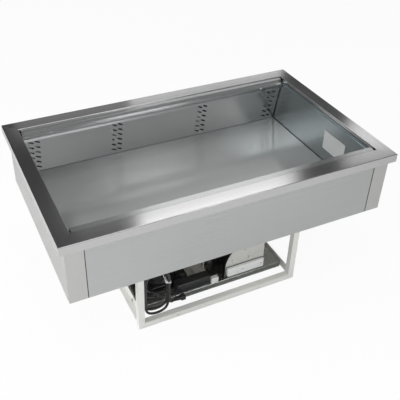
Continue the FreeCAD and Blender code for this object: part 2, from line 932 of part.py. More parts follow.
# Undercarriage: white square tube, two folded bearers along the sides

inner_left, inner_right = "frame_left + tube_side", "frame_right - tube_side"
post_top = "body_bottom - post_plate"
rows = {"front": ("frame_front", "frame_front + tube_side"), "rear": ("frame_back - tube_side", "frame_back")}
columns = {"left": ("frame_left", inner_left), "right": (inner_right, "frame_right")}


def inset(span, amount):
    return (span[0] + " + " + amount, span[1] + " - " + amount)


plate_screws = []
for row, y in rows.items():
    for column, x in columns.items():
        name = "post_" + row + "_" + column
        solid = box(name + "_solid", x, y, ("0", post_top))
        hollow = box(name + "_hollow", inset(x, "tube_wall"), inset(y, "tube_wall"), ("tube_wall", post_top))
        post = cut(name + "_cut", solid, hollow)
        plate_x = (x[0], x[0] + " + post_plate_side") if column == "left" else (x[1] + " - post_plate_side", x[1])
        plate_y = (y[0], y[0] + " + post_plate_side") if row == "front" else (y[1] + " - post_plate_side", y[1])
        plate = box(name + "_plate", plate_x, plate_y, (post_top, "body_bottom"))
        piece(name, fuse(name + "_whole", post, plate))
        far_x = plate_x[1] + " - post_plate_side / 4" if column == "left" else plate_x[0] + " + post_plate_side / 4"
        far_y = plate_y[1] + " - post_plate_side / 4" if row == "front" else plate_y[0] + " + post_plate_side / 4"
        near_x = x[0] + " + tube_side / 2"
        near_y = y[0] + " + tube_side / 2"
        for index, (at_x, at_y) in enumerate(((far_x, near_y), (near_x, far_y))):
            plate_screws.append(cylinder(name + "_screw_" + str(index), "post_screw_radius", "z",
                                         post_top + " - post_screw_head", post_top, x=at_x, y=at_y))
piece("post_plate_screws", group("post_plate_screw_set", *plate_screws))

for row, y in rows.items():
    name = "rail_" + row
    solid = box(name + "_solid", (inner_left, inner_right), y, ("0", "tube_side"))
    hollow = box(name + "_hollow", (inner_left, inner_right), inset(y, "tube_wall"),
                 ("tube_wall", "tube_side - tube_wall"))
    wall = (y[0] + " - tube_wall", y[0] + " + tube_wall * 2")
    if row == "rear":
        wall = (y[1] + " - tube_wall * 2", y[1] + " + tube_wall")
    holes = [cylinder(name + "_hole_" + side, "rail_hole_radius", "y", *wall,
                      x="frame_offset " + side + " rail_hole_spacing / 2", z="rail_hole_height")
             for side in "-+"]
    piece(name, cut(name + "_cut", solid, hollow, *holes))

bolt_z = "base_height - base_flange / 2"
bolt_rows = ("-base_front + bolt_inset", "-base_front + base_depth - bolt_inset")
bearer_y = ("frame_front + tube_side", "frame_back - tube_side")
for column, line in {"left": ("frame_left", inner_left, "-bearer_sheet"),
                     "right": ("frame_right", inner_right, "bearer_sheet")}.items():
    name = "bearer_" + column
    angle = folded(name + "_angle", "xz",
                   [(line[0], "tube_side"), (line[1], "tube_side"), (line[1], "tube_side + bearer_height")],
                   line[2], *bearer_y)
    holes = [cylinder(name + "_hole_" + str(index), "bolt_radius + bolt_play", "x", line[1] + " - bolt_tail",
                      line[1] + " + bolt_tail", y=y, z=bolt_z) for index, y in enumerate(bolt_rows)]
    piece(name, cut(name + "_cut", angle, *holes))


# Base of the condensing unit: a galvanised tray turned down on all four sides,
# bolted through its ends to the bearers

base_x = (inner_left + " + base_end_gap", inner_right + " - base_end_gap")
base_y = ("-base_front", "-base_front + base_depth")
base_solid = box("base_solid", base_x, base_y, ("base_height - base_flange", "base_height"))
base_under = box("base_under", inset(base_x, "base_sheet"), inset(base_y, "base_sheet"),
                 ("0", "base_height - base_sheet"))
base_holes = [cylinder("base_hole_" + str(index), "bolt_radius + bolt_play", "x", base_x[0] + " - base_sheet",
                       base_x[1] + " + base_sheet", y=y, z=bolt_z) for index, y in enumerate(bolt_rows)]
base_solid = rounded("base_rounded", base_solid, "base_bend",
                     lambda edge: along(edge, X) and edge.CenterOfMass.z > value("base_height - base_sheet"))
piece("base_tray", cut("base_cut", base_solid, base_under, *base_holes))

bolts = []
for index, y in enumerate(bolt_rows):
    for column, (web, flange, out) in {"left": (inner_left, base_x[0], "-"),
                                       "right": (inner_right, base_x[1], "+")}.items():
        name = "base_bolt_" + column + "_" + str(index)
        back = "+" if out == "-" else "-"
        outside = web + out + "bearer_sheet"
        spans = {"head": (outside, outside + out + "bolt_head"), "spacer": (web, flange),
                 "nut": (flange + back + "base_sheet", flange + back + "(base_sheet + bolt_head)"),
                 "stem": (outside, flange + back + "(base_sheet + bolt_head)")}
        parts = []
        for part, (low, high) in spans.items():
            if value(low) > value(high):
                low, high = high, low
            radius = "bolt_radius" if part == "stem" else "bolt_head_radius"
            parts.append(cylinder(name + "_" + part, radius, "x", low, high, y=y, z=bolt_z))
        bolts.append(fuse(name, *parts))
piece("base_bolts", group("base_bolt_set", *bolts))


# Compressor: a drawn shell with a welded belt seam on a foot plate that
# stands on four rubber grommets

foot_low = "base_height + shell_lift - foot_plate"
shell_low = "base_height + shell_lift"


def compressor_shell():
    """The shell's half outline, turned about its upright axis."""
    radius, tall, belt = value("shell_radius"), value("shell_height"), value("shell_seam_height")
    crown, base = value("shell_crown"), value("shell_floor_round")
    seam, reach = value("shell_seam") / 2, value("shell_seam_reach")
    corner = math.sqrt(0.5)
    wall = [Vector(0, 0, 0), Vector(radius - base, 0, 0)]
    lower = Part.Arc(wall[1], Vector(radius - base * (1 - corner), 0, base * (1 - corner)), Vector(radius, 0, base))
    straight = [Vector(radius, 0, base), Vector(radius, 0, belt - seam), Vector(radius + reach, 0, belt - seam),
                Vector(radius + reach, 0, belt + seam), Vector(radius, 0, belt + seam),
                Vector(radius, 0, tall - crown)]
    shoulder = Part.Arc(straight[-1], Vector(radius - crown * (1 - corner), 0, tall - crown * (1 - corner)),
                        Vector(radius - crown, 0, tall))
    edges = [Part.makeLine(wall[0], wall[1]), lower.toShape()]
    edges += [Part.makeLine(a, b) for a, b in zip(straight, straight[1:])]
    edges += [shoulder.toShape(), Part.makeLine(Vector(radius - crown, 0, tall), Vector(0, 0, tall)),
              Part.makeLine(Vector(0, 0, tall), Vector())]
    shell = Part.Face(Part.Wire(edges)).revolve(Vector(), Z, 360)
    shell.translate(Vector(value("shell_x"), value("shell_y"), value(shell_low)))
    return shell


grommet_places = [("shell_x " + a + " (foot_long / 2 - foot_inset)", "shell_y " + b + " (foot_wide / 2 - foot_inset)")
                  for a in "-+" for b in "-+"]
foot_body = doc.addObject("PartDesign::Body", "compressor_foot")
floor_plane = [part for part in foot_body.Origin.OriginFeatures if part.Role == "XY_Plane"][0]
foot_sketch = foot_body.newObject("Sketcher::SketchObject", "foot_sketch")
foot_sketch.AttachmentSupport = [(floor_plane, "")]
foot_sketch.MapMode = "FlatFace"
half_long, half_wide = value("foot_long") / 2, value("foot_wide") / 2
corners = [Vector(-half_long, -half_wide), Vector(half_long, -half_wide), Vector(half_long, half_wide),
           Vector(-half_long, half_wide)]
foot_sketch.addGeometry([Part.LineSegment(a, b) for a, b in zip(corners, corners[1:] + corners[:1])])
for index in range(4):
    foot_sketch.addConstraint(Sketcher.Constraint("Coincident", index, 2, (index + 1) % 4, 1))
    foot_sketch.addConstraint(Sketcher.Constraint("Vertical" if index % 2 else "Horizontal", index))
foot_sketch.addConstraint(Sketcher.Constraint("Symmetric", 0, 1, 2, 1, -1, 1))
which = foot_sketch.addConstraint(Sketcher.Constraint("Distance", 0, half_long * 2))
bind(foot_sketch, "Constraints[" + str(which) + "]", "foot_long")
which = foot_sketch.addConstraint(Sketcher.Constraint("Distance", 1, half_wide * 2))
bind(foot_sketch, "Constraints[" + str(which) + "]", "foot_wide")
for a in (-1, 1):
    for b in (-1, 1):
        number = foot_sketch.addGeometry(Part.Circle(Vector(a * (half_long - value("foot_inset")),
                                                            b * (half_wide - value("foot_inset"))), Z,
                                                     value("grommet_bore")))
        for kind, sign, half in (("DistanceX", a, "foot_long / 2"), ("DistanceY", b, "foot_wide / 2")):
            reach = sign * (value(half) - value("foot_inset"))
            which = foot_sketch.addConstraint(Sketcher.Constraint(kind, -1, 1, number, 3, reach))
            bind(foot_sketch, "Constraints[" + str(which) + "]", str(sign) + " * (" + half + " - foot_inset)")
        which = foot_sketch.addConstraint(Sketcher.Constraint("Radius", number, value("grommet_bore")))
        bind(foot_sketch, "Constraints[" + str(which) + "]", "grommet_bore")
foot_pad = foot_body.newObject("PartDesign::Pad", "foot_pad")
foot_pad.Profile = foot_sketch
bind(foot_pad, "Length", "foot_plate")
doc.recompute()
upright = ["Edge" + str(number) for number, edge in enumerate(foot_pad.Shape.Edges, 1) if along(edge, Z)
           and abs(abs(edge.CenterOfMass.x) - half_long) < value("foot_plate")]
foot_round = foot_body.newObject("PartDesign::Fillet", "foot_round")
foot_round.Base = (foot_pad, upright)
bind(foot_round, "Radius", "foot_corner")
foot_body.Tip = foot_round
for axis, text in (("x", "shell_x"), ("y", "shell_y"), ("z", foot_low)):
    bind(foot_body, "Placement.Base." + axis, text)
piece("compressor_foot_plate", foot_body)

grommets = []
for index, (x, y) in enumerate(grommet_places):
    ring = cylinder("grommet_ring_" + str(index), "grommet_radius", "z", "base_height", foot_low, x=x, y=y)
    pin = cylinder("grommet_pin_" + str(index), "grommet_bore", "z", foot_low, shell_low, x=x, y=y)
    cap = cylinder("grommet_cap_" + str(index), "grommet_radius - grommet_bore / 2", "z", shell_low,
                   shell_low + " + foot_plate", x=x, y=y)
    grommets.append(fuse("grommet_" + str(index), ring, pin, cap))
piece("compressor_grommets", group("grommet_set", *grommets))

terminal_x = ("shell_x + shell_radius - terminal_sunk", "shell_x + shell_radius - terminal_sunk + terminal_deep")
terminal = box("terminal_block", terminal_x, ("shell_y - terminal_wide / 2", "shell_y + terminal_wide / 2"),
               (shell_low + " + shell_floor_round", shell_low + " + shell_floor_round + terminal_tall"))
terminal_face = value(terminal_x[1]) - value("seat_gap")
shell_way = cylinder("shell_way", "shell_radius + seat_gap", "z", shell_low, shell_low + " + shell_height",
                     x="shell_x", y="shell_y")
piece("terminal_cover", cut("terminal_cut", rounded("terminal_rounded", terminal, "terminal_corner",
                                                    lambda edge: edge.CenterOfMass.x > terminal_face),
                            shell_way))

relay_span = ("relay_x - relay_long / 2", "relay_x + relay_long / 2")
relay_y = ("-base_front + relay_front_gap", "-base_front + relay_front_gap + relay_deep")
relay = box("relay_block", relay_span, relay_y, ("base_height", "base_height + relay_tall"))
piece("relay_box", rounded("relay_rounded", relay, "relay_corner",
                           lambda edge: edge.CenterOfMass.z > value("base_height + relay_tall / 4")))


# Condenser: finned core at the right, a shroud with a round collar at its left,
# and side sheets whose left edges are cut in an arc beside the fan

fan_y = "-cond_front + cond_width / 2"
fan_z = "base_height + cond_height / 2"
core_x = ("cond_right - cond_core", "cond_right")
cond_y = ("-cond_front", "-cond_front + cond_width")
core_y = ("-cond_front + cond_sheet", "-cond_front + cond_width - cond_sheet")
cond_z = ("base_height", "base_height + cond_height")
core = box("core_block", core_x, core_y, cond_z)
fin_gaps = []
for index in range(int(value("cond_width - cond_sheet * 2") / value("cond_fin_pitch"))):
    start = value(core_y[0]) + value("cond_fin") + index * value("cond_fin_pitch")
    for x in (value(core_x[0]) - value("cond_fin_depth"), value(core_x[1]) - value("cond_fin_depth")):
        fin_gaps.append(Part.makeBox(value("cond_fin_depth") * 2, value("cond_fin_pitch - cond_fin"),
                                     value("cond_height - cond_fin * 2"), Vector(x, start, value("base_height + cond_fin"))))
core_gaps = shaped("core_gaps", Part.makeCompound(fin_gaps))
condenser_fins = cut("condenser_core_cut", core, core_gaps)


def side_sheet(y_low):
    """A side sheet: upright at its foot, then an arc that falls back from the fan."""
    left, right = value("cond_left"), value("cond_right")
    low, high = value("base_height"), value("base_height + cond_height")
    start = low + value("cond_edge_rise")
    radius = value("cond_edge_radius")
    angle = math.asin(min(1, (high - start) / radius))
    end = Vector(left + radius * (1 - math.cos(angle)), y_low, start + radius * math.sin(angle))
    middle = Vector(left + radius * (1 - math.cos(angle / 2)), y_low, start + radius * math.sin(angle / 2))
    points = [end, Vector(end.x, y_low, high), Vector(right, y_low, high), Vector(right, y_low, low),
              Vector(left, y_low, low), Vector(left, y_low, start)]
    if (points[1] - points[0]).Length < value("cond_sheet"):
        points[0:2] = [end]
    edges = [Part.makeLine(a, b) for a, b in zip(points, points[1:])]
    edges.append(Part.Arc(points[-1], middle, end).toShape())
    return Part.Face(Part.Wire(edges)).extrude(Y * value("cond_sheet"))


tube_rows = [value("base_height") + (2 * index + 1) * value("cond_tube_pitch")
             for index in range(int(value("cond_height / cond_tube_pitch") / 2))]
tube_legs = [row + side * value("cond_tube_pitch") / 2 for row in tube_rows for side in (-1, 1)]
core_mid, core_side = "cond_right - cond_core / 2", "cond_right - cond_core / 4"
inlet_z = "base_height + cond_height - line_radius * 3.5"
outlet_z = "base_height + cond_sheet + line_radius"
rear_ways = [(core_mid, leg, "cond_tube_radius") for leg in tube_legs]
rear_ways += [(core_mid, value(inlet_z), "line_radius"), (core_side, value(outlet_z), "thin_line_radius")]
way_tools = [Part.makeCylinder(value(radius + " + seat_gap"), value("cond_sheet") * 2,
                               Vector(value(x), value(core_y[1]), z), Y) for x, z, radius in rear_ways]
rear_sheet = shaped("condenser_rear_sheet", side_sheet(value(core_y[1])))
rear_tools = shaped("condenser_rear_ways", Part.makeCompound(way_tools))
piece("condenser_side_front", shaped("condenser_front_sheet", side_sheet(value(cond_y[0]))))
piece("condenser_side_rear", cut("condenser_rear_cut", rear_sheet, rear_tools))

shroud_x = ("shroud_left", core_x[0])
shroud_wall = box("shroud_wall", ("shroud_left", "shroud_left + cond_sheet"), core_y, cond_z)
shroud_ring = cylinder("shroud_ring", "shroud_hole + cond_sheet", "x", "shroud_left - shroud_collar",
                       "shroud_left + cond_sheet", y=fan_y, z=fan_z)
shroud_bore = cylinder("shroud_bore", "shroud_hole", "x", "shroud_left - shroud_collar * 2",
                       "shroud_left + cond_sheet * 2", y=fan_y, z=fan_z)
shroud_top = box("shroud_top", shroud_x, core_y, ("base_height + cond_height - cond_sheet", cond_z[1]))
shroud_floor = box("shroud_floor", shroud_x, core_y, ("base_height", "base_height + cond_sheet"))
piece("condenser_shroud", cut("shroud_cut", fuse("shroud_solid", shroud_wall, shroud_ring, shroud_top, shroud_floor),
                              shroud_bore))

cond_bends = []
for row in tube_rows:
    ring_middle = Vector(value(core_mid), value(core_y[1]), row)
    ring = Part.makeTorus(value("cond_tube_pitch") / 2, value("cond_tube_radius"), ring_middle, X)
    side = value("cond_tube_pitch") * 2
    half = Part.makeBox(side, side, side, ring_middle - (X + Z) * side / 2)
    cond_bends.append(ring.common(half))
piece("condenser_core", fuse("condenser_whole", condenser_fins, shaped("condenser_bends", Part.makeCompound(cond_bends))))

# Condenser fan: motor on an upright bracket, five swept blades on its shaft
motor_x = ("motor_left", "motor_left + motor_length")
motor = cylinder("motor_can", "motor_radius", "x", *motor_x, y=fan_y, z=fan_z)
motor = rounded("motor_rounded", motor, "motor_round", lambda edge: edge.Curve.TypeId == "Part::GeomCircle")
socket = cylinder("motor_way", "motor_shaft + shaft_play", "x", "motor_left + motor_length - motor_socket",
                  "motor_left + motor_length * 2", y=fan_y, z=fan_z)
piece("condenser_fan_motor", cut("motor_cut", motor, socket))
shaft = cylinder("fan_shaft_bar", "motor_shaft", "x", "motor_left + motor_length - motor_socket + seat_gap",
                 "blade_x + blade_hub_length", y=fan_y, z=fan_z)
condenser_blades = 5
wheel = rotor(value("blade_hub"), value("blade_hub_length"), value("blade_tip"), condenser_blades,
              value("blade_root"), value("blade_tip_angle"), value("blade_length"), value("blade_sheet"))
wheel.Placement = Placement(Vector(value("blade_x"), value(fan_y), value(fan_z)), turns["x"])
piece("condenser_fan_blades", fuse("condenser_fan_whole", shaped("condenser_wheel", wheel), shaft))

bracket = folded("bracket_angle", "xz",
                 [("motor_left - bracket_foot", "base_height"), ("motor_left", "base_height"),
                  ("motor_left", fan_z + " + motor_radius")], "-bracket_sheet",
                 fan_y + " - bracket_width / 2", fan_y + " + bracket_width / 2")
bracket_holes = []
for index, (side, lift) in enumerate((("-", "1"), ("+", "1"), ("-", "2"), ("+", "2"))):
    bracket_holes.append(cylinder("bracket_hole_" + str(index), "bracket_hole", "x", "motor_left - bracket_foot / 2",
                                  "motor_left + bracket_sheet", y=fan_y + side + " bracket_width / 4",
                                  z="base_height + bracket_hole * 3 * " + lift + " - bracket_hole"))
toe_y = (relay_y[1] + " + seat_gap * 3", fan_y + " - bracket_width / 2")
toe = box("bracket_toe", ("motor_left - bracket_foot", "motor_left"), toe_y,
          ("base_height", "base_height + bracket_sheet"))
for index in range(3):
    steps = " + bracket_tap_step * " + str(index + 1)
    bracket_holes.append(cylinder("bracket_tap_" + str(index), "bracket_tap", "z", "base_height - bracket_sheet",
                                  "base_height + bracket_sheet * 2", y=toe_y[0] + steps,
                                  x="motor_left - bracket_tap_in - bracket_tap_step * " + str(index % 2)))
piece("condenser_fan_bracket", cut("bracket_cut", fuse("bracket_whole", bracket, toe), *bracket_holes))

cover_x = ("cover_left", "cover_left + cover_long")
cover_y = ("-cond_front - seat_gap - cover_deep", "-cond_front - seat_gap")
cover_z = ("base_height + cover_lift", "base_height + cover_lift + cover_tall")
cover = box("cover_block", cover_x, cover_y, cover_z)
cover = rounded("cover_rounded", cover, "cover_corner",
                lambda edge: along(edge, Y) and edge.CenterOfMass.x < value("cover_left") + value("seat_gap")
                and edge.CenterOfMass.z < value("base_height + cover_lift + cover_tall / 2"))
cover_holes = [cylinder("cover_hole_" + str(index), "cover_screw_radius", "y", cover_y[0] + " - seat_gap",
                        cover_y[0] + " + cover_deep / 2", x=x, z="base_height + cover_lift + cover_tall / 2")
               for index, x in enumerate(("cover_left + cover_long * cover_hole_share",
                                      "cover_left + cover_long * cover_far_hole_share"))]
piece("junction_cover", cut("cover_cut", cover, *cover_holes))

link = box("link_block", ("link_x - link_long / 2", "link_x + link_long / 2"),
           ("-base_front + link_front_gap", "-base_front + link_front_gap + link_deep"),
           ("base_height", "base_height + link_tall"))
piece("wire_connector", rounded("link_rounded", link, "link_round", lambda edge: along(edge, Y)))


# Refrigerant lines. A tube follows straight runs joined by tangent arcs.

def route(points, radius):
    """A tube round hand-placed points; each arc is as large as its two runs allow."""
    edges, radii, length = [], [], 0
    last = points[0]
    for before, here, after in zip(points, points[1:], points[2:]):
        back, ahead = before - here, after - here
        shorter = min(back.Length, ahead.Length)
        turn = math.pi - back.getAngle(ahead)
        reach = shorter * arc_share
        arc_radius = reach / math.tan(turn / 2)
        radii.append(arc_radius)
        a = here + Vector(back).normalize() * reach
        b = here + Vector(ahead).normalize() * reach
        towards = (Vector(back).normalize() + Vector(ahead).normalize()).normalize()
        middle = here + towards * (arc_radius / math.cos(turn / 2) - arc_radius)
        if (a - last).Length > radius * 0.01:
            edges.append(Part.makeLine(last, a))
            length += (a - last).Length
        edges.append(Part.Arc(a, middle, b).toShape())
        length += arc_radius * turn
        last = b
    edges.append(Part.makeLine(last, points[-1]))
    length += (points[-1] - last).Length
    wire = Part.Wire(edges)
    direction = points[1] - points[0]
    ring = Part.Wire([Part.makeCircle(radius, points[0], direction)])
    tube = wire.makePipeShell([ring], True, False)
    return tube, radii, length


arc_share = 0.45


def tube_piece(label, points, radius):
    """A tube through the points, with its least bend and a check of its volume printed."""
    tube, radii, length = route(points, radius)
    share = tube.Volume / (math.pi * radius ** 2 * length)
    print(label, "length", round(length), "radii", [round(bend) for bend in radii],
          "volume over section x length", round(share, 4))
    return piece(label, shaped(label + "_tube", tube))


def places(*texts):
    """Points whose coordinates are expressions in the sheet's names."""
    return [Vector(*[value(text) for text in point]) for point in texts]


# The process tube is brazed into the shell's wall: out, across, down and back
shell_front = "shell_y - sqrt(shell_radius ^ 2 - (process_x - shell_x) ^ 2)"
process_tube, radii, length = route(places(
    ("process_x", shell_front + " + process_radius * 2", "process_top"),
    ("process_x", "-process_front", "process_top"),
    ("process_x + process_step", "-process_front - process_ease", "process_top"),
    ("process_x + process_step", "-process_front - process_ease", "process_top - process_drop"),
    ("process_x + process_step - process_back", "-process_front", "process_top - process_drop")),
    value("process_radius"))
print("process tube length", round(length), "radii", [round(bend) for bend in radii])
piece("compressor_shell", shaped("compressor_shell_form", compressor_shell().fuse(process_tube).removeSplitter()))

line_low = "tank_floor + line_radius + seat_gap"
suction_z = "base_height + shell_lift + shell_seam_height + line_radius * 3"
shell_rear = "shell_y + shell_radius + seat_gap"
tube_piece("suction_line", places(
    ("shell_x", shell_rear, suction_z),
    ("shell_x", shell_rear + " + line_step", suction_z),
    ("(shell_x + line_way_x) / 2", "line_way_y", suction_z + " + line_step"),
    ("line_way_x", "line_way_y + line_step / 3", "body_bottom - line_step"),
    ("line_way_x", "line_way_y", "body_bottom + line_step / 3"),
    ("line_way_x", "line_way_y - line_step / 3", line_low),
    ("line_way_x", "tank_front + coil_front_gap + coil_side + seat_gap", line_low)), value("line_radius"))

# The discharge line leaves the shell's wall half its radius from the middle
way_near = ("line_way_x + line_radius * 2", "line_way_y + line_radius * 2")
cond_rear = "-cond_front + cond_width"
discharge_x = "shell_x + shell_radius / 2"
discharge_y = "shell_y + sqrt(shell_radius ^ 2 - (shell_radius / 2 - line_radius) ^ 2) + seat_gap"
discharge_z = "base_height + shell_lift + shell_seam_height / 2 + line_radius * 3"
tube_piece("discharge_line", places(
    (discharge_x, discharge_y, discharge_z),
    (discharge_x, discharge_y + " + line_step * 1.5", discharge_z),
    ("shell_x + shell_radius", "line_way_y - line_step * 1.6", discharge_z + " + line_step"),
    ("motor_left + motor_length / 2", cond_rear + " + line_step", inlet_z),
    (core_mid + " - line_step", cond_rear + " + line_step * 1.2", inlet_z),
    (core_mid, cond_rear + " + line_step * 0.8", inlet_z),
    (core_mid, core_y[1] + " + seat_gap", inlet_z)), value("line_radius"))
drier_z = "base_height + drier_radius + seat_gap"
drier_left, drier_right = "drier_x - drier_length / 2", "drier_x + drier_length / 2"
drier_can = cylinder("drier_can", "drier_radius", "x", drier_left + " + drier_neck", drier_right + " - drier_neck",
                     y="drier_y", z=drier_z)
drier_can = rounded("drier_rounded", drier_can, "drier_radius / 2", lambda edge: edge.Curve.TypeId == "Part::GeomCircle")
drier_stem = cylinder("drier_stem", "line_radius", "x", drier_left, drier_right, y="drier_y", z=drier_z)
piece("filter_drier", fuse("drier_solid", drier_can, drier_stem))
tube_piece("liquid_line", places(
    (core_side, core_y[1] + " + seat_gap", outlet_z),
    (core_side, cond_rear + " + line_step", outlet_z),
    (core_side + " - line_step / 2", "drier_y - line_step / 3", drier_z),
    (drier_right + " + line_step", "drier_y", drier_z),
    (drier_right + " + seat_gap", "drier_y", drier_z)), value("thin_line_radius"))
tube_piece("capillary_line", places(
    (drier_left + " - seat_gap", "drier_y", drier_z),
    (drier_left + " - line_step", "drier_y", drier_z),
    (drier_left + " - line_step * 1.8", "drier_y - line_step / 3", drier_z + " + line_step"),
    (way_near[0] + " + line_step", "line_way_y", "body_bottom - line_step * 2"),
    (way_near[0], "line_way_y", "body_bottom - line_step"),
    (way_near[0], "line_way_y", "body_bottom"),
    (way_near[0], "line_way_y - line_step / 3", line_low),
    (way_near[0], "tank_front + coil_front_gap + coil_side + seat_gap", line_low)), value("thin_line_radius"))


# Mains lead. It leaves a clamp on the front of the base, goes twice round a
# hank that hangs before the unit, then lies on the base behind the compressor.

def quarter(start, heading, following, radius):
    """A quarter turn from one heading to the next, and its end."""
    centre = start + following * radius
    middle = centre + (heading - following) * (radius * math.sqrt(0.5))
    end = centre + heading * radius
    return Part.Arc(start, middle, end).toShape(), end


cord = value("cord_radius")
bend = value("hank_width") / 2
rise = value("hank_top - hank_bottom") - bend * 2
slant = math.asin(value("hank_step") / (rise + bend * 2))
up, left, right = Z, -X, X
down = Vector(0, math.sin(slant), -math.cos(slant))
spot = Vector(value("hank_x") + bend, -value("hank_front"), value("hank_start"))
hank_entry = spot
hank_edges = []
hank_turns = 2
for turn in range(hank_turns + 1):
    top = value("hank_top") - bend
    climb = top - spot.z
    fall = rise - value("hank_rise") * turn if turn < hank_turns else value("hank_tail")
    for heading, following, length in ((up, left, climb), (left, down, 0), (down, right, fall), (right, up, 0)):
        if length:
            hank_edges.append(Part.makeLine(spot, spot + heading * length))
            spot = spot + heading * length
        if turn == hank_turns and heading == down:
            break
        arc, spot = quarter(spot, heading, following, bend)
        hank_edges.append(arc)
hank_end = spot
hank_wire = Part.Wire(hank_edges)
hank_ring = Part.Wire([Part.makeCircle(cord, hank_entry, up)])
hank = hank_wire.makePipeShell([hank_ring], True, False)
piece("mains_lead_hank", shaped("hank_tube", hank))
print("hank length", round(hank_wire.Length), "volume over section x length",
      round(hank.Volume / (math.pi * cord ** 2 * hank_wire.Length), 4))

# Least gap of the hank to itself, between points more than half a turn apart
probe = hank_wire.discretize(Distance=cord)
apart = int(hank_wire.Length / (hank_turns + 1) / cord / 2)
gaps = [(probe[i] - probe[j]).Length for i in range(len(probe)) for j in range(i + apart, len(probe))]
print("least gap of the hank to itself", round(min(gaps) - cord * 2, 2))

gland_y = "-base_front - gland_deep / 2"
gland_face = Vector(value("gland_x"), value(gland_y), value("gland_height"))
ascent = hank_entry.z - gland_face.z
inlet = [gland_face, gland_face - X * value("inlet_out"),
         gland_face + Vector(-value("inlet_away"), -value("inlet_forward"), value("inlet_lift")),
         hank_entry + X * value("inlet_lean") - Z * ascent * value("inlet_rise_share"),
         hank_entry - Z * ascent * value("inlet_straight_share"), hank_entry]
tube_piece("mains_lead_inlet", inlet, cord)
gland = box("gland_block", ("gland_x", "gland_x + gland_long"), ("-base_front - gland_deep", "-base_front"),
            ("gland_height - gland_tall / 2", "gland_height + gland_tall / 2"))
piece("lead_clamp", rounded("gland_rounded", gland, "gland_round", lambda edge: along(edge, X)
                            and edge.CenterOfMass.y < value("-base_front - gland_deep / 2")))

lying = value("base_height") + cord + value("seat_gap")
plug_end = Vector(value("plug_x"), value("plug_y"), value("base_height + plug_radius + seat_gap"))
tail = [hank_end, hank_end + down * bend * value("tail_drop_share"),
        Vector(hank_end.x, hank_end.y + bend * value("tail_back_share"), lying)]
tail_stops = 5
for index in range(tail_stops):
    sway = value("tail_sway") * (-1 if index % 2 else 1)
    tail.append(Vector(-value("tail_left") - sway, index * value("tail_pitch") - value("tail_front"), lying))
tail.append(Vector(-value("tail_bend_x"), value("tail_bend_y"), lying))
tail += [plug_end - X * value("plug_lead_run") - Z * value("plug_lead_drop"),
         plug_end - X * value("plug_lead_straight"), plug_end]
tube_piece("mains_lead_tail", tail, cord)

nose = doc.addObject("Part::Cone", "plug_nose_cone")
nose.Placement.Rotation = turns["x"]
bind(nose, "Radius1", "cord_radius + plug_nose_radius / 4")
bind(nose, "Radius2", "plug_nose_radius")
bind(nose, "Height", "plug_nose")
for axis, text in (("x", "plug_x"), ("y", "plug_y"), ("z", "base_height + plug_radius + seat_gap")):
    bind(nose, "Placement.Base." + axis, text)
plug_z = "base_height + plug_radius + seat_gap"
plug_grip = cylinder("plug_grip_bar", "plug_radius", "x", "plug_x + plug_nose", "plug_x + plug_nose + plug_body",
                     y="plug_y", z=plug_z)
plug_grip = rounded("plug_grip_round", plug_grip, "plug_round", lambda edge: edge.Curve.TypeId == "Part::GeomCircle")
plug_pins = [cylinder("plug_pin_" + side, "pin_radius", "x", "plug_x + plug_nose + plug_body - plug_round",
                      "plug_x + plug_nose + plug_body + pin_length", y="plug_y " + side + " pin_pitch / 2", z=plug_z)
             for side in "-+"]
piece("mains_plug", fuse("plug_solid", nose, plug_grip, *plug_pins))

# Cable tie round the three strands at the hank's right
tie_x = ("hank_x + hank_width / 2 - cord_radius - tie_play", "hank_x + hank_width / 2 + cord_radius + tie_play")
tie_y = ("-hank_front - cord_radius - tie_play", "-hank_front + hank_step * 2 + cord_radius + tie_play")
tie_z = ("tie_height - tie_width / 2", "tie_height + tie_width / 2")
tie_solid = box("tie_solid", (tie_x[0] + " - tie_sheet", tie_x[1] + " + tie_sheet"),
                (tie_y[0] + " - tie_sheet", tie_y[1] + " + tie_sheet"), tie_z)
tie_solid = rounded("tie_outer", tie_solid, "cord_radius + tie_play", lambda edge: along(edge, Z))
tie_hole = box("tie_hole", tie_x, tie_y, tie_z)
tie_hole = rounded("tie_inner", tie_hole, "cord_radius", lambda edge: along(edge, Z))
tie_front = tie_y[0] + " + cord_radius"
tie_catch = box("tie_catch", (tie_x[0] + " - tie_head", tie_x[0] + " - tie_sheet / 2"),
                (tie_front, tie_front + " + tie_head"), ("tie_height - tie_head / 2", "tie_height + tie_head / 2"))
tie_end = tie_x[0] + " - tie_head"
tie_tail = prism("tie_tail", "xz",
                 [(tie_end, "tie_height"), (tie_end + " + tie_sheet", "tie_height"),
                  (tie_end + " + tie_sheet - tie_tail_lean", "tie_height + tie_tail_length"),
                  (tie_end + " - tie_tail_lean", "tie_height + tie_tail_length")],
                 tie_front + " + tie_head / 2 - tie_tail_width / 2", tie_front + " + tie_head / 2 + tie_tail_width / 2")
piece("cable_tie", cut("tie_cut", fuse("tie_whole", tie_solid, tie_catch, tie_tail), tie_hole))


# Check every object and write one file for each piece

doc.recompute()
for thing in doc.Objects:
    if "Invalid" in thing.State or "Error" in thing.State:
        raise RuntimeError(thing.Name + " failed: " + str(thing.State))
os.makedirs("parts", exist_ok=True)
for label, thing in pieces:
    shape = thing.Shape
    if shape.isNull() or not shape.isValid():
        raise RuntimeError(label + " has no valid shape")
    shape.exportStep("parts/" + label + ".step")
print(len(pieces), "pieces written")
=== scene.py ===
# %% [markdown]
# This lesson dresses a drop-in refrigerated food well: a stainless tray for three
# gastronorm pans, set into a counter, with its condensing unit in a white frame
# below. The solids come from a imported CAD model, which is loaded first and never
# moved, and every size here is in metres in that model's own frame.

import json
import math

import bmesh
import bpy
from mathutils import Matrix, Vector


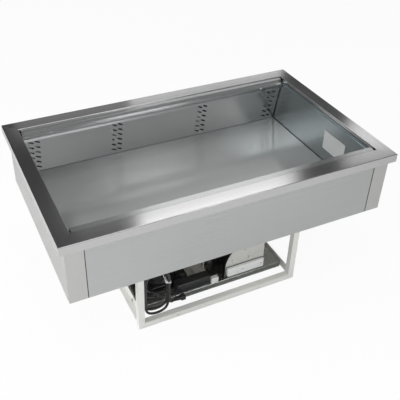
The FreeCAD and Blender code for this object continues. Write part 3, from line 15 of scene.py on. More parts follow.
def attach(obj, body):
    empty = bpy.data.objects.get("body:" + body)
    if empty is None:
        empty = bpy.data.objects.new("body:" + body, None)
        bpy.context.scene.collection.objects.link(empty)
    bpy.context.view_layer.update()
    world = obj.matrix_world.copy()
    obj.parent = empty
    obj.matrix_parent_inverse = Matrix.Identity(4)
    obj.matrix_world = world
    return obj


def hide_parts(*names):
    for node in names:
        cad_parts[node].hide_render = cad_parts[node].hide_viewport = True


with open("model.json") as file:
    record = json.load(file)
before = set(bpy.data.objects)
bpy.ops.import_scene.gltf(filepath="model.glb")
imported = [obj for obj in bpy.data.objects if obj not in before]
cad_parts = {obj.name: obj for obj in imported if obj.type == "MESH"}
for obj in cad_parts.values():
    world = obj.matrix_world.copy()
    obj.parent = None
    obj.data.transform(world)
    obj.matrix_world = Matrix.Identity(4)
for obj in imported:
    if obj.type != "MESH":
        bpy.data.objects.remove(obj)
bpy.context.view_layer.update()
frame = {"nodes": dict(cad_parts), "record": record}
nodes = frame["nodes"]

# %% [markdown]
# The camera comes before any shape, because every later choice is judged through
# it. Its place was found from the rim's corners, with a size for the rim that follows
# from the pans it holds: the view looks down by about 35 degrees, from two metres away
# and 26 degrees to the left of the well's own front. A little shift puts the optical
# axis where the photograph has it.

# %% Camera
view_turn = math.radians(-26.439)
view_tilt = math.radians(35.201)
view_roll = math.radians(1.493)
focal_px, frame_px, sensor_mm = 631.525, 400, 36
axis_px_x, axis_px_y = 190, 180
rim_height = 0.44
offset_right, offset_up, distance = -0.016086, -0.131394, 2.044153

forward = Vector((-math.sin(view_turn) * math.cos(view_tilt), math.cos(view_turn) * math.cos(view_tilt),
                  -math.sin(view_tilt)))
level = Vector((math.cos(view_turn), math.sin(view_turn), 0))
upright = level.cross(forward)
right = level * math.cos(view_roll) + upright * math.sin(view_roll)
upward = upright * math.cos(view_roll) - level * math.sin(view_roll)

camera_data = bpy.data.cameras.new("camera")
camera = bpy.data.objects.new("camera", camera_data)
bpy.context.scene.collection.objects.link(camera)
camera_data.sensor_width = sensor_mm
camera_data.lens = focal_px / frame_px * sensor_mm
camera_data.shift_x = (frame_px / 2 - axis_px_x) / frame_px
camera_data.shift_y = (axis_px_y - frame_px / 2) / frame_px
place = right * offset_right + upward * offset_up - forward * distance + Vector((0, 0, rim_height))
turn = Matrix((right, upward, -forward)).transposed().to_4x4()
camera.matrix_world = Matrix.Translation(place) @ turn
bpy.context.scene.camera = camera
print("camera at", [round(x, 3) for x in place], "lens", round(camera_data.lens, 1))

# %% [markdown]
# The mains lead is next, since a cord's length decides how far the model spreads.
# The real one leaves a clamp at the front of the base and is wound twice into a hank
# held by a tie. Its end isn't seen: here it lies behind the compressor and ends in its
# plug. A NURBS curve of order three is the right tool, since it is smooth everywhere,
# and its control points are just the corners of the route. Each turn of the hank is
# the same few points again, a little more than a cord's width further back.

# %% Mains lead route
cord_width = 0.008
hank_left, hank_right = -0.293, -0.217
hank_top, hank_bottoms = 0.196, (0.0192, 0.0292)
hank_front, strand_step = -0.285, 0.009
corner_reach = hank_right - hank_left
drift_high, drift_low = 0.42, 0.6  # shares of a step by which the left side has moved back

clamp_face = Vector((-0.166, -0.262, 0.034))
straight_out, first_bend = Vector((-0.022, 0, 0)), Vector((-0.038, -0.010, 0.008))
entry_lean, entry_low, entry_high = 0.006, 0.058, 0.084
lead_points = [clamp_face, clamp_face + straight_out, clamp_face + first_bend,
               Vector((hank_right + entry_lean, hank_front, entry_low)),
               Vector((hank_right, hank_front, entry_high))]
for number, low in enumerate(hank_bottoms):
    y = hank_front + strand_step * number
    behind = y + strand_step
    lead_points += [Vector((hank_right, y, hank_top - corner_reach)), Vector((hank_right, y, hank_top)),
                    Vector((hank_left, y, hank_top)),
                    Vector((hank_left, y + strand_step * drift_high, hank_top - corner_reach)),
                    Vector((hank_left, y + strand_step * drift_low, low + corner_reach)),
                    Vector((hank_left, behind, low)), Vector((hank_right, behind, low)),
                    Vector((hank_right, behind, low + corner_reach))]
last = hank_front + strand_step * len(hank_bottoms)
last_drift, lying = 0.004, 0.0443
landing = [Vector((hank_left, -0.261, 0.061)), Vector((hank_left, -0.2455, lying))]
lying_way = ((-0.294, -0.214), (-0.293, -0.158), (-0.294, -0.100), (-0.292, -0.044), (-0.287, 0.012),
             (-0.270, 0.050))
plug_entry = Vector((-0.187, 0.072, 0.0593))
plug_rise, plug_straight = Vector((-0.048, 0, -0.007)), Vector((-0.018, 0, 0))
lead_points += [Vector((hank_right, last, hank_top - corner_reach)), Vector((hank_right, last, hank_top)),
                Vector((hank_left, last, hank_top)),
                Vector((hank_left, last + last_drift, hank_top - corner_reach)), *landing,
                *[Vector((x, y, lying)) for x, y in lying_way],
                plug_entry + plug_rise, plug_entry + plug_straight, plug_entry]


def cord_curve(name, points, radius):
    """A round cord along a smooth order-three spline."""
    data = bpy.data.curves.new(name, "CURVE")
    data.dimensions = "3D"
    data.bevel_depth = 1.0
    data.bevel_resolution = 5
    data.resolution_u = 10
    data.use_fill_caps = True
    spline = data.splines.new("NURBS")
    spline.points.add(len(points) - 1)
    for point, control in zip(points, spline.points):
        control.co = (*point, 1)
        control.radius = radius
    spline.order_u = 3
    spline.use_endpoint_u = True
    thing = bpy.data.objects.new(name, data)
    bpy.context.scene.collection.objects.link(thing)
    return thing


mains_lead = cord_curve("mains_lead", lead_points, cord_width / 2)
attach(mains_lead, "well")
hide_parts("mains_lead_hank", "mains_lead_inlet", "mains_lead_tail")
print("lead control points", len(lead_points))

# %% [markdown]
# A lead is held where it enters a housing by a moulded sleeve that tapers and has
# rings cut into it, so that it bends softly. It is turned about its own axis, so a
# lathe profile of radii is all it needs: the rings are small steps in that profile.

# %% Strain relief at the clamp
def lathe(name, profile, axis_start, axis_direction, segments=32):
    """A solid of revolution from (distance along, radius) pairs."""
    mesh = bmesh.new()
    direction = axis_direction.normalized()
    side = direction.orthogonal().normalized()
    other = direction.cross(side)
    rings = []
    for along, radius in profile:
        ring = []
        for step in range(segments):
            angle = 2 * math.pi * step / segments
            ring.append(mesh.verts.new(axis_start + direction * along
                                       + (side * math.cos(angle) + other * math.sin(angle)) * radius))
        rings.append(ring)
    for ring, following in zip(rings, rings[1:]):
        for step in range(segments):
            mesh.faces.new((ring[step], ring[(step + 1) % segments], following[(step + 1) % segments],
                            following[step]))
    mesh.faces.new(reversed(rings[0]))
    mesh.faces.new(rings[-1])
    bmesh.ops.recalc_face_normals(mesh, faces=mesh.faces)
    return mesh_object(name, mesh)


def mesh_object(name, mesh, smooth_angle=35):
    """Link a bmesh as an object that shades smooth except at its sharp edges."""
    data = bpy.data.meshes.new(name)
    limit = math.radians(smooth_angle)
    for face in mesh.faces:
        face.smooth = True
    for edge in mesh.edges:
        if edge.is_manifold and edge.calc_face_angle() > limit:
            edge.smooth = False
    mesh.to_mesh(data)
    mesh.free()
    thing = bpy.data.objects.new(name, data)
    bpy.context.scene.collection.objects.link(thing)
    return thing


sleeve_radius, sleeve_taper, sleeve_rings = 0.0068, 0.00035, 5
first_ring, ring_pitch, ring_cut, ring_lip = 0.003, 0.0036, 0.0007, 0.0001
ring_down, ring_across, ring_up = 0.0003, 0.0013, 0.0016
sleeve_profile = [(0, sleeve_radius)]
for ring in range(sleeve_rings):
    start = first_ring + ring * ring_pitch
    radius = sleeve_radius - ring * sleeve_taper
    sleeve_profile += [(start, radius), (start + ring_down, radius - ring_cut),
                       (start + ring_across, radius - ring_cut), (start + ring_up, radius - ring_lip)]
sleeve_profile += [(0.0215, 0.0050), (0.0222, 0.0045)]
lead_sleeve = lathe("lead_sleeve", sleeve_profile, clamp_face, Vector((-1, 0, 0)))
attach(lead_sleeve, "well")
print("sleeve faces", len(lead_sleeve.data.polygons))

# %% [markdown]
# Some small things are left to this scene. Three screws hold the nose of the back air
# panel: their pan heads are lathed like the sleeve, with a cross pressed into each.
# Two thin blocks cut the cross with a boolean modifier, the way a punch would, and
# the cut mesh then takes the place of the modifier.

# %% Nose screws
def block(name, low, high, edge):
    """A box between two corners with its edges rounded by a bevel."""
    mesh = bmesh.new()
    bmesh.ops.create_cube(mesh, size=1.0)
    size = [b - a for a, b in zip(low, high)]
    middle = [(a + b) / 2 for a, b in zip(low, high)]
    for corner in mesh.verts:
        corner.co = Vector([c * d + m for c, d, m in zip(corner.co, size, middle)])
    bmesh.ops.bevel(mesh, geom=mesh.edges[:], offset=edge, segments=2, affect="EDGES", profile=0.5)
    return mesh_object(name, mesh)


nose_face, screw_height, screw_pitch = 0.2572, 0.4205, 0.404
head_profile = [(0, 0.0046), (0.0006, 0.0047), (0.0013, 0.0043), (0.0019, 0.0034), (0.0022, 0.0022),
                (0.0023, 0.0008)]
cross_long, cross_wide, cross_outer, cross_inner = 0.0044, 0.0011, 0.0035, 0.0012
punch_edge = 0.0001
nose_screws = []
for number, x in enumerate((-screw_pitch, 0.0, screw_pitch)):
    head = lathe(f"nose_screw_{number + 1}", head_profile, Vector((x, nose_face, screw_height)),
                 Vector((0, -1, 0)), segments=24)
    for tall, wide in ((cross_long, cross_wide), (cross_wide, cross_long)):
        punch = block("punch", (x - wide / 2, nose_face - cross_outer, screw_height - tall / 2),
                      (x + wide / 2, nose_face - cross_inner, screw_height + tall / 2), punch_edge)
        cut = head.modifiers.new("cross", "BOOLEAN")
        cut.operation, cut.object = "DIFFERENCE", punch
        graph = bpy.context.evaluated_depsgraph_get()
        finished = bpy.data.meshes.new_from_object(head.evaluated_get(graph))
        head.modifiers.remove(cut)
        head.data = finished
        bpy.data.objects.remove(punch)
    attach(head, "well")
    nose_screws.append(head)
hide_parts("lip_rivets")
print("nose screws", len(nose_screws), "faces each", len(nose_screws[0].data.polygons))

# %% [markdown]
# Sheets that meet leave a line. Where the front and back sheets butt against the
# wrapped side sheets, a slim dark strip in the joint paints the shade of the gap, and
# each side panel's top ends in a thin hem whose blue-green steel paints a bluish
# reflection. Both are slim rounded strips, and a flat dark frame round the white cover
# on the condenser's side paints the shade of the gap around it.

# %% Seam shade strips and hems
seam_x, seam_face, shade_strip_width, shade_strip_proud, shade_strip_edge = 0.47925, 0.3215, 0.0022, 0.0004, 0.0002
skin_low, rim_under = 0.2225, 0.4115
hem_face, hem_share, hem_edge = 0.5030, 0.9976, 0.0005
hem_ends, hem_heights = (-0.285, 0.272), (0.4172, 0.4196)
cover_shade_low, cover_shade_high, cover_shade_edge = (0.0062, -0.2416, 0.0424), (0.1478, -0.2401, 0.0788), 0.0003
trims = {}
# Each seam strip is a dark sheet laid in a joint between sheets: painted shade of the gap.
for side, x in (("left", -seam_x), ("right", seam_x)):
    for end, y in (("front", -seam_face), ("back", seam_face)):
        near, far = sorted((y, y + math.copysign(shade_strip_proud, y)))
        seam_shade = block(f"seam_bead_{end}_{side}", (x - shade_strip_width / 2, near - shade_strip_edge, skin_low),
                     (x + shade_strip_width / 2, far + shade_strip_edge, rim_under), shade_strip_edge)
        trims[seam_shade.name] = (seam_shade, "grommet_rubber")
    wall = math.copysign(hem_face, x)
    near, far = sorted((wall, wall * hem_share))
    hem = block(f"side_panel_hem_{side}", (near, hem_ends[0], hem_heights[0]),
                (far, hem_ends[1], hem_heights[1]), hem_edge)
    trims[hem.name] = (hem, "side_steel")
# A flat dark frame just behind the white cover: painted shade of the gap round the cover.
cover_shade = block("cover_gasket", cover_shade_low, cover_shade_high, cover_shade_edge)
trims[cover_shade.name] = (cover_shade, "grommet_rubber")
for trim, finish in trims.values():
    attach(trim, "well")
print("trims", sorted(trims))

# %% [markdown]
# The right wall carries a foil label, which is left wholly bare here. One flat face
# gets its corners rounded by a bevel of its vertices, and an extrusion by the foil's
# thickness then makes it a thin solid.

# %% Blank label
label_face, foil, label_corner = 0.5029, 0.0004, 0.003
label_low, label_high = (-0.146, 0.300), (-0.029, 0.372)
mesh = bmesh.new()
mesh.faces.new([mesh.verts.new((label_face, y, z)) for y, z in
                (label_low, (label_low[0], label_high[1]), label_high, (label_high[0], label_low[1]))])
bmesh.ops.bevel(mesh, geom=mesh.verts[:], offset=label_corner, segments=4, affect="VERTICES", profile=0.5)
for pulled in bmesh.ops.extrude_face_region(mesh, geom=mesh.faces[:])["geom"]:
    if isinstance(pulled, bmesh.types.BMVert):
        pulled.co.x -= foil
bmesh.ops.recalc_face_normals(mesh, faces=mesh.faces)
blank_label = mesh_object("blank_label", mesh)
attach(blank_label, "well")
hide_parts("rating_plate")
print("label", [round(x, 4) for x in blank_label.dimensions])

# %% [markdown]
# Now the finishes. Stainless sheet is never one flat grey: rolling and brushing
# leave fine lines along one direction, and handling leaves broad faint clouds. One
# node group gives both. Stretching a noise texture by a different scale along each
# axis turns its blobs into lines, and a second, coarse noise makes the clouds. The
# group gives values only; each steel decides how much of them it uses.

# %% Steel grain group
def new_group(name, inputs, outputs):
    """A shader node group with named sockets."""
    group = bpy.data.node_groups.new(name, "ShaderNodeTree")
    for title, kind, value in inputs:
        socket = group.interface.new_socket(title, in_out="INPUT", socket_type="NodeSocket" + kind)
        if value is not None:
            socket.default_value = value
    for title, kind in outputs:
        group.interface.new_socket(title, in_out="OUTPUT", socket_type="NodeSocket" + kind)
    entry = group.nodes.new("NodeGroupInput")
    leave = group.nodes.new("NodeGroupOutput")
    return group, entry.outputs, leave.inputs


def node(tree, kind, **settings):
    """A node with its properties and its unlinked inputs set by name."""
    made = tree.nodes.new("ShaderNode" + kind)
    for key, value in settings.items():
        if hasattr(made, key):
            setattr(made, key, value)
        else:
            made.inputs[key.replace("_", " ")].default_value = value
    return made


def math_node(tree, operation, first, second):
    """The output of an operation on two values or sockets."""
    made = tree.nodes.new("ShaderNodeMath")
    made.operation = operation
    for socket, value in zip(made.inputs, (first, second)):
        if isinstance(value, (int, float)):
            socket.default_value = value
        else:
            tree.links.new(value, socket)
    return made.outputs[0]


noise_low, noise_high = 0.3, 0.7


def spread(tree, value, low, high):
    """Map a noise, which hardly leaves its middle range, onto low to high."""
    made = node(tree, "MapRange", From_Min=noise_low, From_Max=noise_high)
    for title, bound in (("To Min", low), ("To Max", high)):
        if isinstance(bound, (int, float)):
            made.inputs[title].default_value = bound
        else:
            tree.links.new(bound, made.inputs[title])
    tree.links.new(value, made.inputs["Value"])
    return made.outputs["Result"]


steel_grain, given, result = new_group(
    "steel_grain",
    [("Grain", "Vector", (4, 900, 900)), ("Roughness", "Float", 0.3), ("Variation", "Float", 0.06),
     ("Cloud", "Float", 3.0)],
    [("Roughness", "Float"), ("Height", "Float"), ("Tone", "Float")])
place_node = node(steel_grain, "TexCoord")
stretched = node(steel_grain, "VectorMath", operation="MULTIPLY")
steel_grain.links.new(place_node.outputs["Object"], stretched.inputs[0])
steel_grain.links.new(given["Grain"], stretched.inputs[1])
lines = node(steel_grain, "TexNoise", Scale=1.0, Detail=4.0, Roughness=0.6)
steel_grain.links.new(stretched.outputs[0], lines.inputs["Vector"])
clouds = node(steel_grain, "TexNoise", Detail=2.0, Roughness=0.5)
steel_grain.links.new(place_node.outputs["Object"], clouds.inputs["Vector"])
steel_grain.links.new(given["Cloud"], clouds.inputs["Scale"])
line_share, cloud_share = 0.55, 0.45
both = math_node(steel_grain, "ADD", math_node(steel_grain, "MULTIPLY", lines.outputs["Fac"], line_share),
                 math_node(steel_grain, "MULTIPLY", clouds.outputs["Fac"], cloud_share))
low = math_node(steel_grain, "SUBTRACT", given["Roughness"], given["Variation"])
high = math_node(steel_grain, "ADD", given["Roughness"], given["Variation"])
steel_grain.links.new(spread(steel_grain, both, low, high), result["Roughness"])
steel_grain.links.new(lines.outputs["Fac"], result["Height"])
steel_grain.links.new(both, result["Tone"])
print("group", steel_grain.name)

# %% [markdown]
# A brushed surface blurs what it mirrors across its lines and not along them. The
# Principled shader has this as anisotropy, and its tangent tells which way to blur.
# Each rail of the rim was brushed along its own length and each outer sheet along its
# side of the well, so both need two directions. A value that no texture changes is
# set on the shader's own socket.

# %% Steel materials
def principled(name):
    """A new material and its Principled node."""
    material = bpy.data.materials.new(name)
    material.use_nodes = True
    return material, material.node_tree, material.node_tree.nodes["Principled BSDF"]


def blend(tree, factor, first, second):
    """A colour that goes from the first to the second with a value from 0 to 1."""
    mixed = node(tree, "Mix", data_type="RGBA")
    for socket in mixed.inputs:
        if socket.type == "RGBA":
            socket.default_value = (*(first if socket.name == "A" else second), 1)
    tree.links.new(factor, mixed.inputs["Factor"])
    return [socket for socket in mixed.outputs if socket.type == "RGBA"][0]


def relief(tree, height, strength, depth):
    """The normal of a surface with a fine relief."""
    bumped = node(tree, "Bump", Strength=strength, Distance=depth)
    tree.links.new(height, bumped.inputs["Height"])
    return bumped.outputs["Normal"]


grain_depth = 0.0004


def steel(name, colour, roughness, grain, blur=None, anisotropy=0.0, variation=0.05, bump=0.02, cloud=3.0,
          tone_depth=0.05, metal=1.0):
    """Stainless or zinced sheet with a directed grain."""
    material, tree, shader = principled(name)
    shader.inputs["Metallic"].default_value = metal
    shader.inputs["Anisotropic"].default_value = anisotropy
    group = node(tree, "Group", node_tree=steel_grain)
    for title, value in (("Grain", grain), ("Roughness", roughness), ("Variation", variation), ("Cloud", cloud)):
        group.inputs[title].default_value = value
    tree.links.new(group.outputs["Roughness"], shader.inputs["Roughness"])
    dark = [part * (1 - tone_depth) for part in colour]
    light = [min(1, part * (1 + tone_depth)) for part in colour]
    tree.links.new(blend(tree, group.outputs["Tone"], dark, light), shader.inputs["Base Color"])
    tree.links.new(relief(tree, group.outputs["Height"], bump, grain_depth), shader.inputs["Normal"])
    if blur:
        across = node(tree, "CombineXYZ", X=blur[0], Y=blur[1], Z=blur[2])
        tree.links.new(across.outputs[0], shader.inputs["Tangent"])
    return material


along_x, along_y, along_z = (1.5, 170, 170), (170, 1.5, 170), (170, 170, 1.5)
blur_y, blur_x = (0, 1, 1), (1, 0, 1)
rim_colour = (0.62, 0.62, 0.62)
rim_long_steel = steel("rim_long_steel", rim_colour, 0.18, along_x, blur_y, 0.6, variation=0.03, bump=0.01)
rim_side_steel = steel("rim_side_steel", rim_colour, 0.18, along_y, blur_x, 0.6, variation=0.03, bump=0.01)
# The side sheets are lighter and warmer than the front and back sheets of the same steel; this colour difference
# paints the brighter light the side sheets show.
skin_steel = steel("skin_steel", (0.555, 0.57, 0.565), 0.32, along_x, blur_y, 0.5, variation=0.08, bump=0.02,
                   tone_depth=0.14)
skin_side_steel = steel("skin_side_steel", (0.60, 0.605, 0.595), 0.32, along_y, blur_x, 0.5, variation=0.08,
                        bump=0.02, tone_depth=0.12)
panel_steel = steel("panel_steel", (0.60, 0.61, 0.61), 0.22, along_x, blur_y, 0.4, variation=0.03, bump=0.003,
                    metal=0.95)
# The side panels are a darker, slightly blue copy of the back panel's steel: painted shade on the side walls.
side_panel_steel = steel("side_panel_steel", (0.40, 0.44, 0.45), 0.22, along_y, blur_x, 0.3, variation=0.03,
                         bump=0.003, metal=0.92)
floor_steel = steel("floor_steel", (0.66, 0.67, 0.67), 0.15, along_x, blur_y, 0.2, variation=0.03, bump=0.003,
                    metal=0.65)
tank_steel = steel("tank_steel", (0.52, 0.53, 0.53), 0.25, along_x, blur_y, 0.3)
drain_steel = steel("drain_steel", (0.60, 0.60, 0.60), 0.28, along_z)
screw_steel = steel("screw_steel", (0.62, 0.62, 0.62), 0.25, (300, 300, 300))
galvanised = steel("galvanised", (0.70, 0.70, 0.67), 0.36, (90, 90, 90), variation=0.12, bump=0.01, cloud=45.0,
                   tone_depth=0.16, metal=0.4)
tray_zinc = steel("tray_zinc", (0.56, 0.57, 0.55), 0.24, (60, 60, 60), variation=0.08, bump=0.01, cloud=30.0,
                  tone_depth=0.16, metal=0.95)
fin_aluminium = steel("fin_aluminium", (0.74, 0.75, 0.76), 0.35, (700, 700, 8), bump=0.25)
condenser_fins = steel("condenser_fins", (0.42, 0.36, 0.30), 0.4, (700, 700, 8), bump=0.25)
copper = steel("copper", (0.62, 0.33, 0.20), 0.3, (40, 40, 40), variation=0.1, cloud=30.0, tone_depth=0.15)
plate_foil = steel("plate_foil", (0.84, 0.85, 0.85), 0.5, (200, 200, 200), variation=0.04)
# The hem's blue-green steel colour is a painted bluish reflection.
hem_steel = steel("hem_steel", (0.42, 0.58, 0.62), 0.3, along_y)
print("steels", len(bpy.data.materials))

# %% [markdown]
# The unit below has painted and moulded finishes. Powder coat has a fine skin like
# the peel of an orange, moulded plastic has a fine even grain, and both gather a
# little dust on the faces that look up. A second group gives the peel and the dust.

# %% Coat group
coat_skin, given, result = new_group(
    "coat_skin", [("Peel", "Float", 350.0), ("Dust", "Float", 0.15), ("Roughness", "Float", 0.4)],
    [("Height", "Float"), ("Dust", "Float"), ("Roughness", "Float")])
place_node = node(coat_skin, "TexCoord")
peel = node(coat_skin, "TexNoise", Detail=2.0, Roughness=0.4)
coat_skin.links.new(place_node.outputs["Object"], peel.inputs["Vector"])
coat_skin.links.new(given["Peel"], peel.inputs["Scale"])
patches = node(coat_skin, "TexNoise", Scale=18.0, Detail=4.0, Roughness=0.65)
coat_skin.links.new(place_node.outputs["Object"], patches.inputs["Vector"])
facing = node(coat_skin, "NewGeometry")
normal_parts = node(coat_skin, "SeparateXYZ")
coat_skin.links.new(facing.outputs["Normal"], normal_parts.inputs[0])
steepest, dust_matt, patch_matt = 0.3, 0.4, 0.04
looking_up = node(coat_skin, "MapRange", From_Min=steepest, From_Max=1.0)
coat_skin.links.new(normal_parts.outputs["Z"], looking_up.inputs["Value"])
settled = math_node(coat_skin, "MULTIPLY", looking_up.outputs["Result"],
                    spread(coat_skin, patches.outputs["Fac"], 0.3, 1.0))
dusty = math_node(coat_skin, "MULTIPLY", settled, given["Dust"])
coat_skin.links.new(peel.outputs["Fac"], result["Height"])
coat_skin.links.new(dusty, result["Dust"])
matt = math_node(coat_skin, "ADD", math_node(coat_skin, "MULTIPLY", dusty, dust_matt),
                 spread(coat_skin, patches.outputs["Fac"], -patch_matt, patch_matt))
coat_skin.links.new(math_node(coat_skin, "ADD", given["Roughness"], matt), result["Roughness"])
print("group", coat_skin.name)

# %% [markdown]
# Each painted or moulded finish is then one call: a colour, a roughness, how fine its
# peel is and how much dust it holds. Black paint, black plastic and the lead's sheath
# also get a clear coat, which gives them a small sharp glint.

# %% Painted and moulded materials
dust_colour, peel_depth = (0.42, 0.40, 0.37), 0.0003


def coated(name, colour, roughness, peel=350.0, bump=0.1, dust=0.15, coat=0.0):
    """Paint, plastic, rubber or foam."""
    material, tree, shader = principled(name)
    shader.inputs["Coat Weight"].default_value = coat
    group = node(tree, "Group", node_tree=coat_skin)
    for title, value in (("Peel", peel), ("Dust", dust), ("Roughness", roughness)):
        group.inputs[title].default_value = value
    tree.links.new(blend(tree, group.outputs["Dust"], colour, dust_colour), shader.inputs["Base Color"])
    tree.links.new(group.outputs["Roughness"], shader.inputs["Roughness"])
    tree.links.new(relief(tree, group.outputs["Height"], bump, peel_depth), shader.inputs["Normal"])
    return material


white_paint = coated("white_paint", (0.88, 0.88, 0.85), 0.35, dust=0.03)
bearer_paint = coated("bearer_paint", (0.84, 0.84, 0.81), 0.38, dust=0.05)
black_paint = coated("black_paint", (0.012, 0.012, 0.014), 0.22, peel=250.0, dust=0.06, coat=0.4)
shroud_paint = coated("shroud_paint", (0.02, 0.018, 0.016), 0.4, dust=0.12)
black_plastic = coated("black_plastic", (0.012, 0.012, 0.014), 0.3, peel=900.0, bump=0.05, dust=0.04, coat=0.3)
fan_plastic = coated("fan_plastic", (0.025, 0.025, 0.026), 0.4, peel=900.0, dust=0.08)
grommet_rubber = coated("grommet_rubber", (0.02, 0.02, 0.02), 0.65, peel=700.0, dust=0.2)
lead_sheath = coated("lead_sheath", (0.012, 0.012, 0.013), 0.28, peel=500.0, bump=0.03, dust=0.03, coat=0.3)
plug_plastic = coated("plug_plastic", (0.016, 0.016, 0.017), 0.45, peel=800.0, dust=0.1)
white_plastic = coated("white_plastic", (0.93, 0.94, 0.93), 0.3, peel=900.0, bump=0.04, dust=0.05)
tie_nylon = coated("tie_nylon", (0.88, 0.88, 0.86), 0.35, peel=900.0, bump=0.04, dust=0.02)
foam = coated("foam", (0.80, 0.72, 0.48), 0.9, peel=500.0, bump=0.6, dust=0.0)
print("steels and coats", len(bpy.data.materials))

# %% [markdown]
# The record names a slot for each solid's finish, and a dictionary from slot to
# material dresses most of the nodes in one loop. The rim's side rails and the side
# sheets share a slot with the long ones but not their grain's direction, and the base
# tray is smoother zinc, so these are named one by one.

# %% Dress the solids
finish_of_slot = {
    "bearer_steel": bearer_paint, "black_paint": black_paint, "black_plastic": black_plastic,
    "condenser_fins": condenser_fins, "copper": copper, "drain_steel": drain_steel, "fan_plastic": fan_plastic,
    "fin_aluminium": fin_aluminium, "floor_steel": floor_steel, "foam": foam, "galvanised": galvanised,
    "grommet_rubber": grommet_rubber, "lead_sheath": lead_sheath, "panel_steel": panel_steel,
    "plate": plate_foil, "plug_plastic": plug_plastic, "rim_steel": rim_long_steel, "screw_steel": screw_steel,
    "shroud_paint": shroud_paint, "side_steel": side_panel_steel, "skin_steel": skin_steel,
    "tank_steel": tank_steel, "tie_nylon": tie_nylon, "white_paint": white_paint, "white_plastic": white_plastic}
finish_of_node = {"rim_left": rim_side_steel, "rim_right": rim_side_steel, "skin_left": skin_side_steel,
                  "skin_right": skin_side_steel, "base_tray": tray_zinc}
slot_of_node = {name: entry["slot"] for entry in frame["record"]["materials"] for name in entry.get("nodes", [])}
for name, thing in nodes.items():
    imported = thing.material_slots[0].material.name.split(".")[0] if thing.material_slots else ""
    finish = finish_of_node.get(name) or finish_of_slot.get(slot_of_node.get(name, imported))
    if finish is None:
        print("no finish for", name, imported)
        continue
    if thing.material_slots:
        thing.material_slots[0].material = finish
    else:
        thing.data.materials.append(finish)
mains_lead.data.materials.append(lead_sheath)
lead_sleeve.data.materials.append(lead_sheath)
blank_label.data.materials.append(plate_foil)
for head in nose_screws:
    head.data.materials.append(screw_steel)
# The seam strips and the cover's frame take the dark rubber finish as painted shade of their gaps; the hems take
# the blue-green steel, a painted bluish reflection.
for trim, finish in trims.values():
    trim.data.materials.append(grommet_rubber if finish == "grommet_rubber" else hem_steel)
print("nodes dressed", sum(1 for thing in nodes.values() if thing.material_slots))

# %% [markdown]
# Flat sheet must mirror like flat sheet. Where a large face meets a small rounded
# edge, smooth shading tilts its corners' normals and the mirror image bends. The
# weighted normal modifier gives each corner the direction of its largest face, which
# leaves the shape as it is and makes the reflections straight.

# %% Straight reflections
for thing in nodes.values():
    flat = thing.modifiers.new("flat_faces", "WEIGHTED_NORMAL")
    flat.mode = "FACE_AREA"
    flat.weight = 100
    flat.keep_sharp = True
print("nodes with weighted normals", len(nodes))

# %% [markdown]
# A studio photograph of polished metal shows mostly what stands round it. The room
# itself is dim here, so that what is lit stands out: a little lighter before the well
# than behind it, and bright only straight above. The camera sees plain white where it
# sees nothing, by way of the light path's camera ray.

# %% World
world = bpy.data.worlds.new("studio")
bpy.context.scene.world = world
world.use_nodes = True
tree = world.node_tree
tree.nodes.clear()
output = tree.nodes.new("ShaderNodeOutputWorld")
direction = node(tree, "TexCoord")
parts = node(tree, "SeparateXYZ")
tree.links.new(direction.outputs["Generated"], parts.inputs[0])
side_reach, light_before, light_behind = 0.8, 0.32, 0.06
ceiling_from, ceiling_full, ceiling_light = 0.84, 0.96, 1.1
away = node(tree, "MapRange", From_Min=-side_reach, From_Max=side_reach, To_Min=light_before, To_Max=light_behind)
tree.links.new(parts.outputs["Y"], away.inputs["Value"])
above = node(tree, "MapRange", From_Min=ceiling_from, From_Max=ceiling_full, To_Min=0.0, To_Max=ceiling_light)
tree.links.new(parts.outputs["Z"], above.inputs["Value"])
room = node(tree, "Background", Strength=1.0)
tree.links.new(math_node(tree, "ADD", away.outputs["Result"], above.outputs["Result"]), room.inputs["Color"])
white = node(tree, "Background", Color=(1, 1, 1, 1), Strength=1.0)
path = node(tree, "LightPath")
chosen = node(tree, "MixShader")
tree.links.new(path.outputs["Is Camera Ray"], chosen.inputs["Fac"])
tree.links.new(room.outputs[0], chosen.inputs[1])
tree.links.new(white.outputs[0], chosen.inputs[2])
tree.links.new(chosen.outputs[0], output.inputs["Surface"])
print("world nodes", len(tree.nodes))

# %% [markdown]
# The floor is real: it takes light and the object's shadow, and the steel mirrors
# it. For the camera most of its shading is replaced by plain white, which leaves the
# shadow as a faint tint, as on a cut-out catalogue picture.

# %% Studio floor
floor_half, floor_drop, plain_share = 6.0, 0.0005, 0.94
floor_mesh = bmesh.new()
bmesh.ops.create_grid(floor_mesh, x_segments=1, y_segments=1, size=floor_half)
studio_floor = mesh_object("studio_floor", floor_mesh)
studio_floor.location.z = -floor_drop
floor_paint, tree, shader = principled("floor_paint")
shader.inputs["Base Color"].default_value = (0.86, 0.86, 0.86, 1)
shader.inputs["Roughness"].default_value = 0.9
shader.inputs["Specular IOR Level"].default_value = 0.0
plain = node(tree, "Emission", Color=(1, 1, 1, 1), Strength=1.0)
path = node(tree, "LightPath")
share = math_node(tree, "MULTIPLY", path.outputs["Is Camera Ray"], plain_share)
chosen = node(tree, "MixShader")
tree.links.new(share, chosen.inputs["Fac"])
tree.links.new(shader.outputs[0], chosen.inputs[1])
tree.links.new(plain.outputs[0], chosen.inputs[2])
tree.links.new(chosen.outputs[0], tree.nodes["Material Output"].inputs["Surface"])
studio_floor.data.materials.append(floor_paint)
print("floor", [round(x, 1) for x in studio_floor.dimensions])

# %% [markdown]
# The rim's top and the false floor mirror a plane behind the well. Following the
# mirror rays of some points of the photograph to that plane told where it is white,
# grey or dark, and five panels stand there, 1.4 m behind the middle of the well. The
# highest is the white band in the front rail, the middle one gives the false floor
# its grey, the low ones light the back rail, and one further right lights the front
# end of the right rail. A lamp is set by the radiance that a mirror would show.

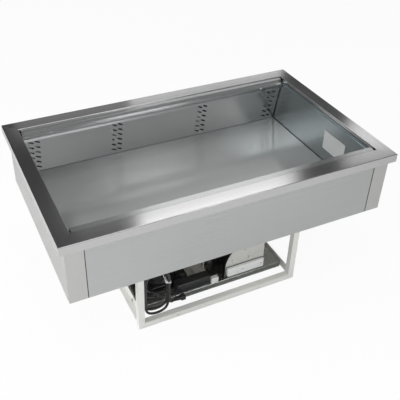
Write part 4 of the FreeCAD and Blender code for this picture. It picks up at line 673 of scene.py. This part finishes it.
# %% Panels behind the well
def lamp(name, width, height, radiance, place, facing):
    """A soft rectangular lamp that shines from a place in a direction."""
    data = bpy.data.lights.new(name, "AREA")
    data.shape = "RECTANGLE"
    data.size, data.size_y = width, height
    data.energy = radiance * math.pi * width * height
    thing = bpy.data.objects.new(name, data)
    bpy.context.scene.collection.objects.link(thing)
    thing.location = place
    thing.rotation_euler = (-Vector(facing)).to_track_quat("Z", "Y").to_euler()
    thing.visible_camera = False


panel_plane = 1.4


def back_panel_lamp(name, left, right, low, high, radiance):
    """A panel on the plane behind the well."""
    lamp(name, right - left, high - low, radiance,
         ((left + right) / 2, panel_plane, (low + high) / 2), (0, -1, 0))


back_panel_lamp("band_high", 0.34, 1.545, 1.87, 2.50, 2.1)
back_panel_lamp("band_middle", -0.10, 1.42, 1.38, 1.80, 0.34)
back_panel_lamp("band_low", 0.29, 1.30, 0.88, 1.12, 1.0)
back_panel_lamp("band_right", 1.90, 2.80, 1.48, 1.92, 1.2)
back_panel_lamp("band_low_left", -0.35, 0.29, 0.88, 1.12, 0.28)
print("panels", len(bpy.data.lights))

# %% [markdown]
# The white frame and the floor need light from the camera's side. It comes from
# above and from the left and front, where no mirror that the camera sees points. One
# near lamp brightens the floor before the well, which the front sheet mirrors, and
# two glows above are what the back panel shows by way of the false floor.

# %% Lamps before the well
lamp("overhead", 1.2, 1.2, 1.5, (0.1, 0.1, 3.0), (0, 0, -1))
lamp("front_fill", 1.5, 1.0, 2.8, (-1.2, -2.5, 1.0), (0.4, 0.9, -0.2))
lamp("front_near", 0.5, 0.4, 5.0, (0.5, -1.35, 1.1), (0, 0.2, -1))
lamp("panel_glow_left", 0.8, 0.6, 0.45, (0.05, -1.7, 3.0), (0, 0, -1))
lamp("panel_glow_right", 0.6, 0.6, 0.7, (2.2, -1.7, 3.0), (0, 0, -1))
lamp("left_fill", 2.0, 1.6, 6.0, (-2.8, 0.3, 1.5), (0.9, -0.05, -0.42))
bpy.context.scene.view_settings.view_transform = "Standard"
print("lamps in all", len(bpy.data.lights))
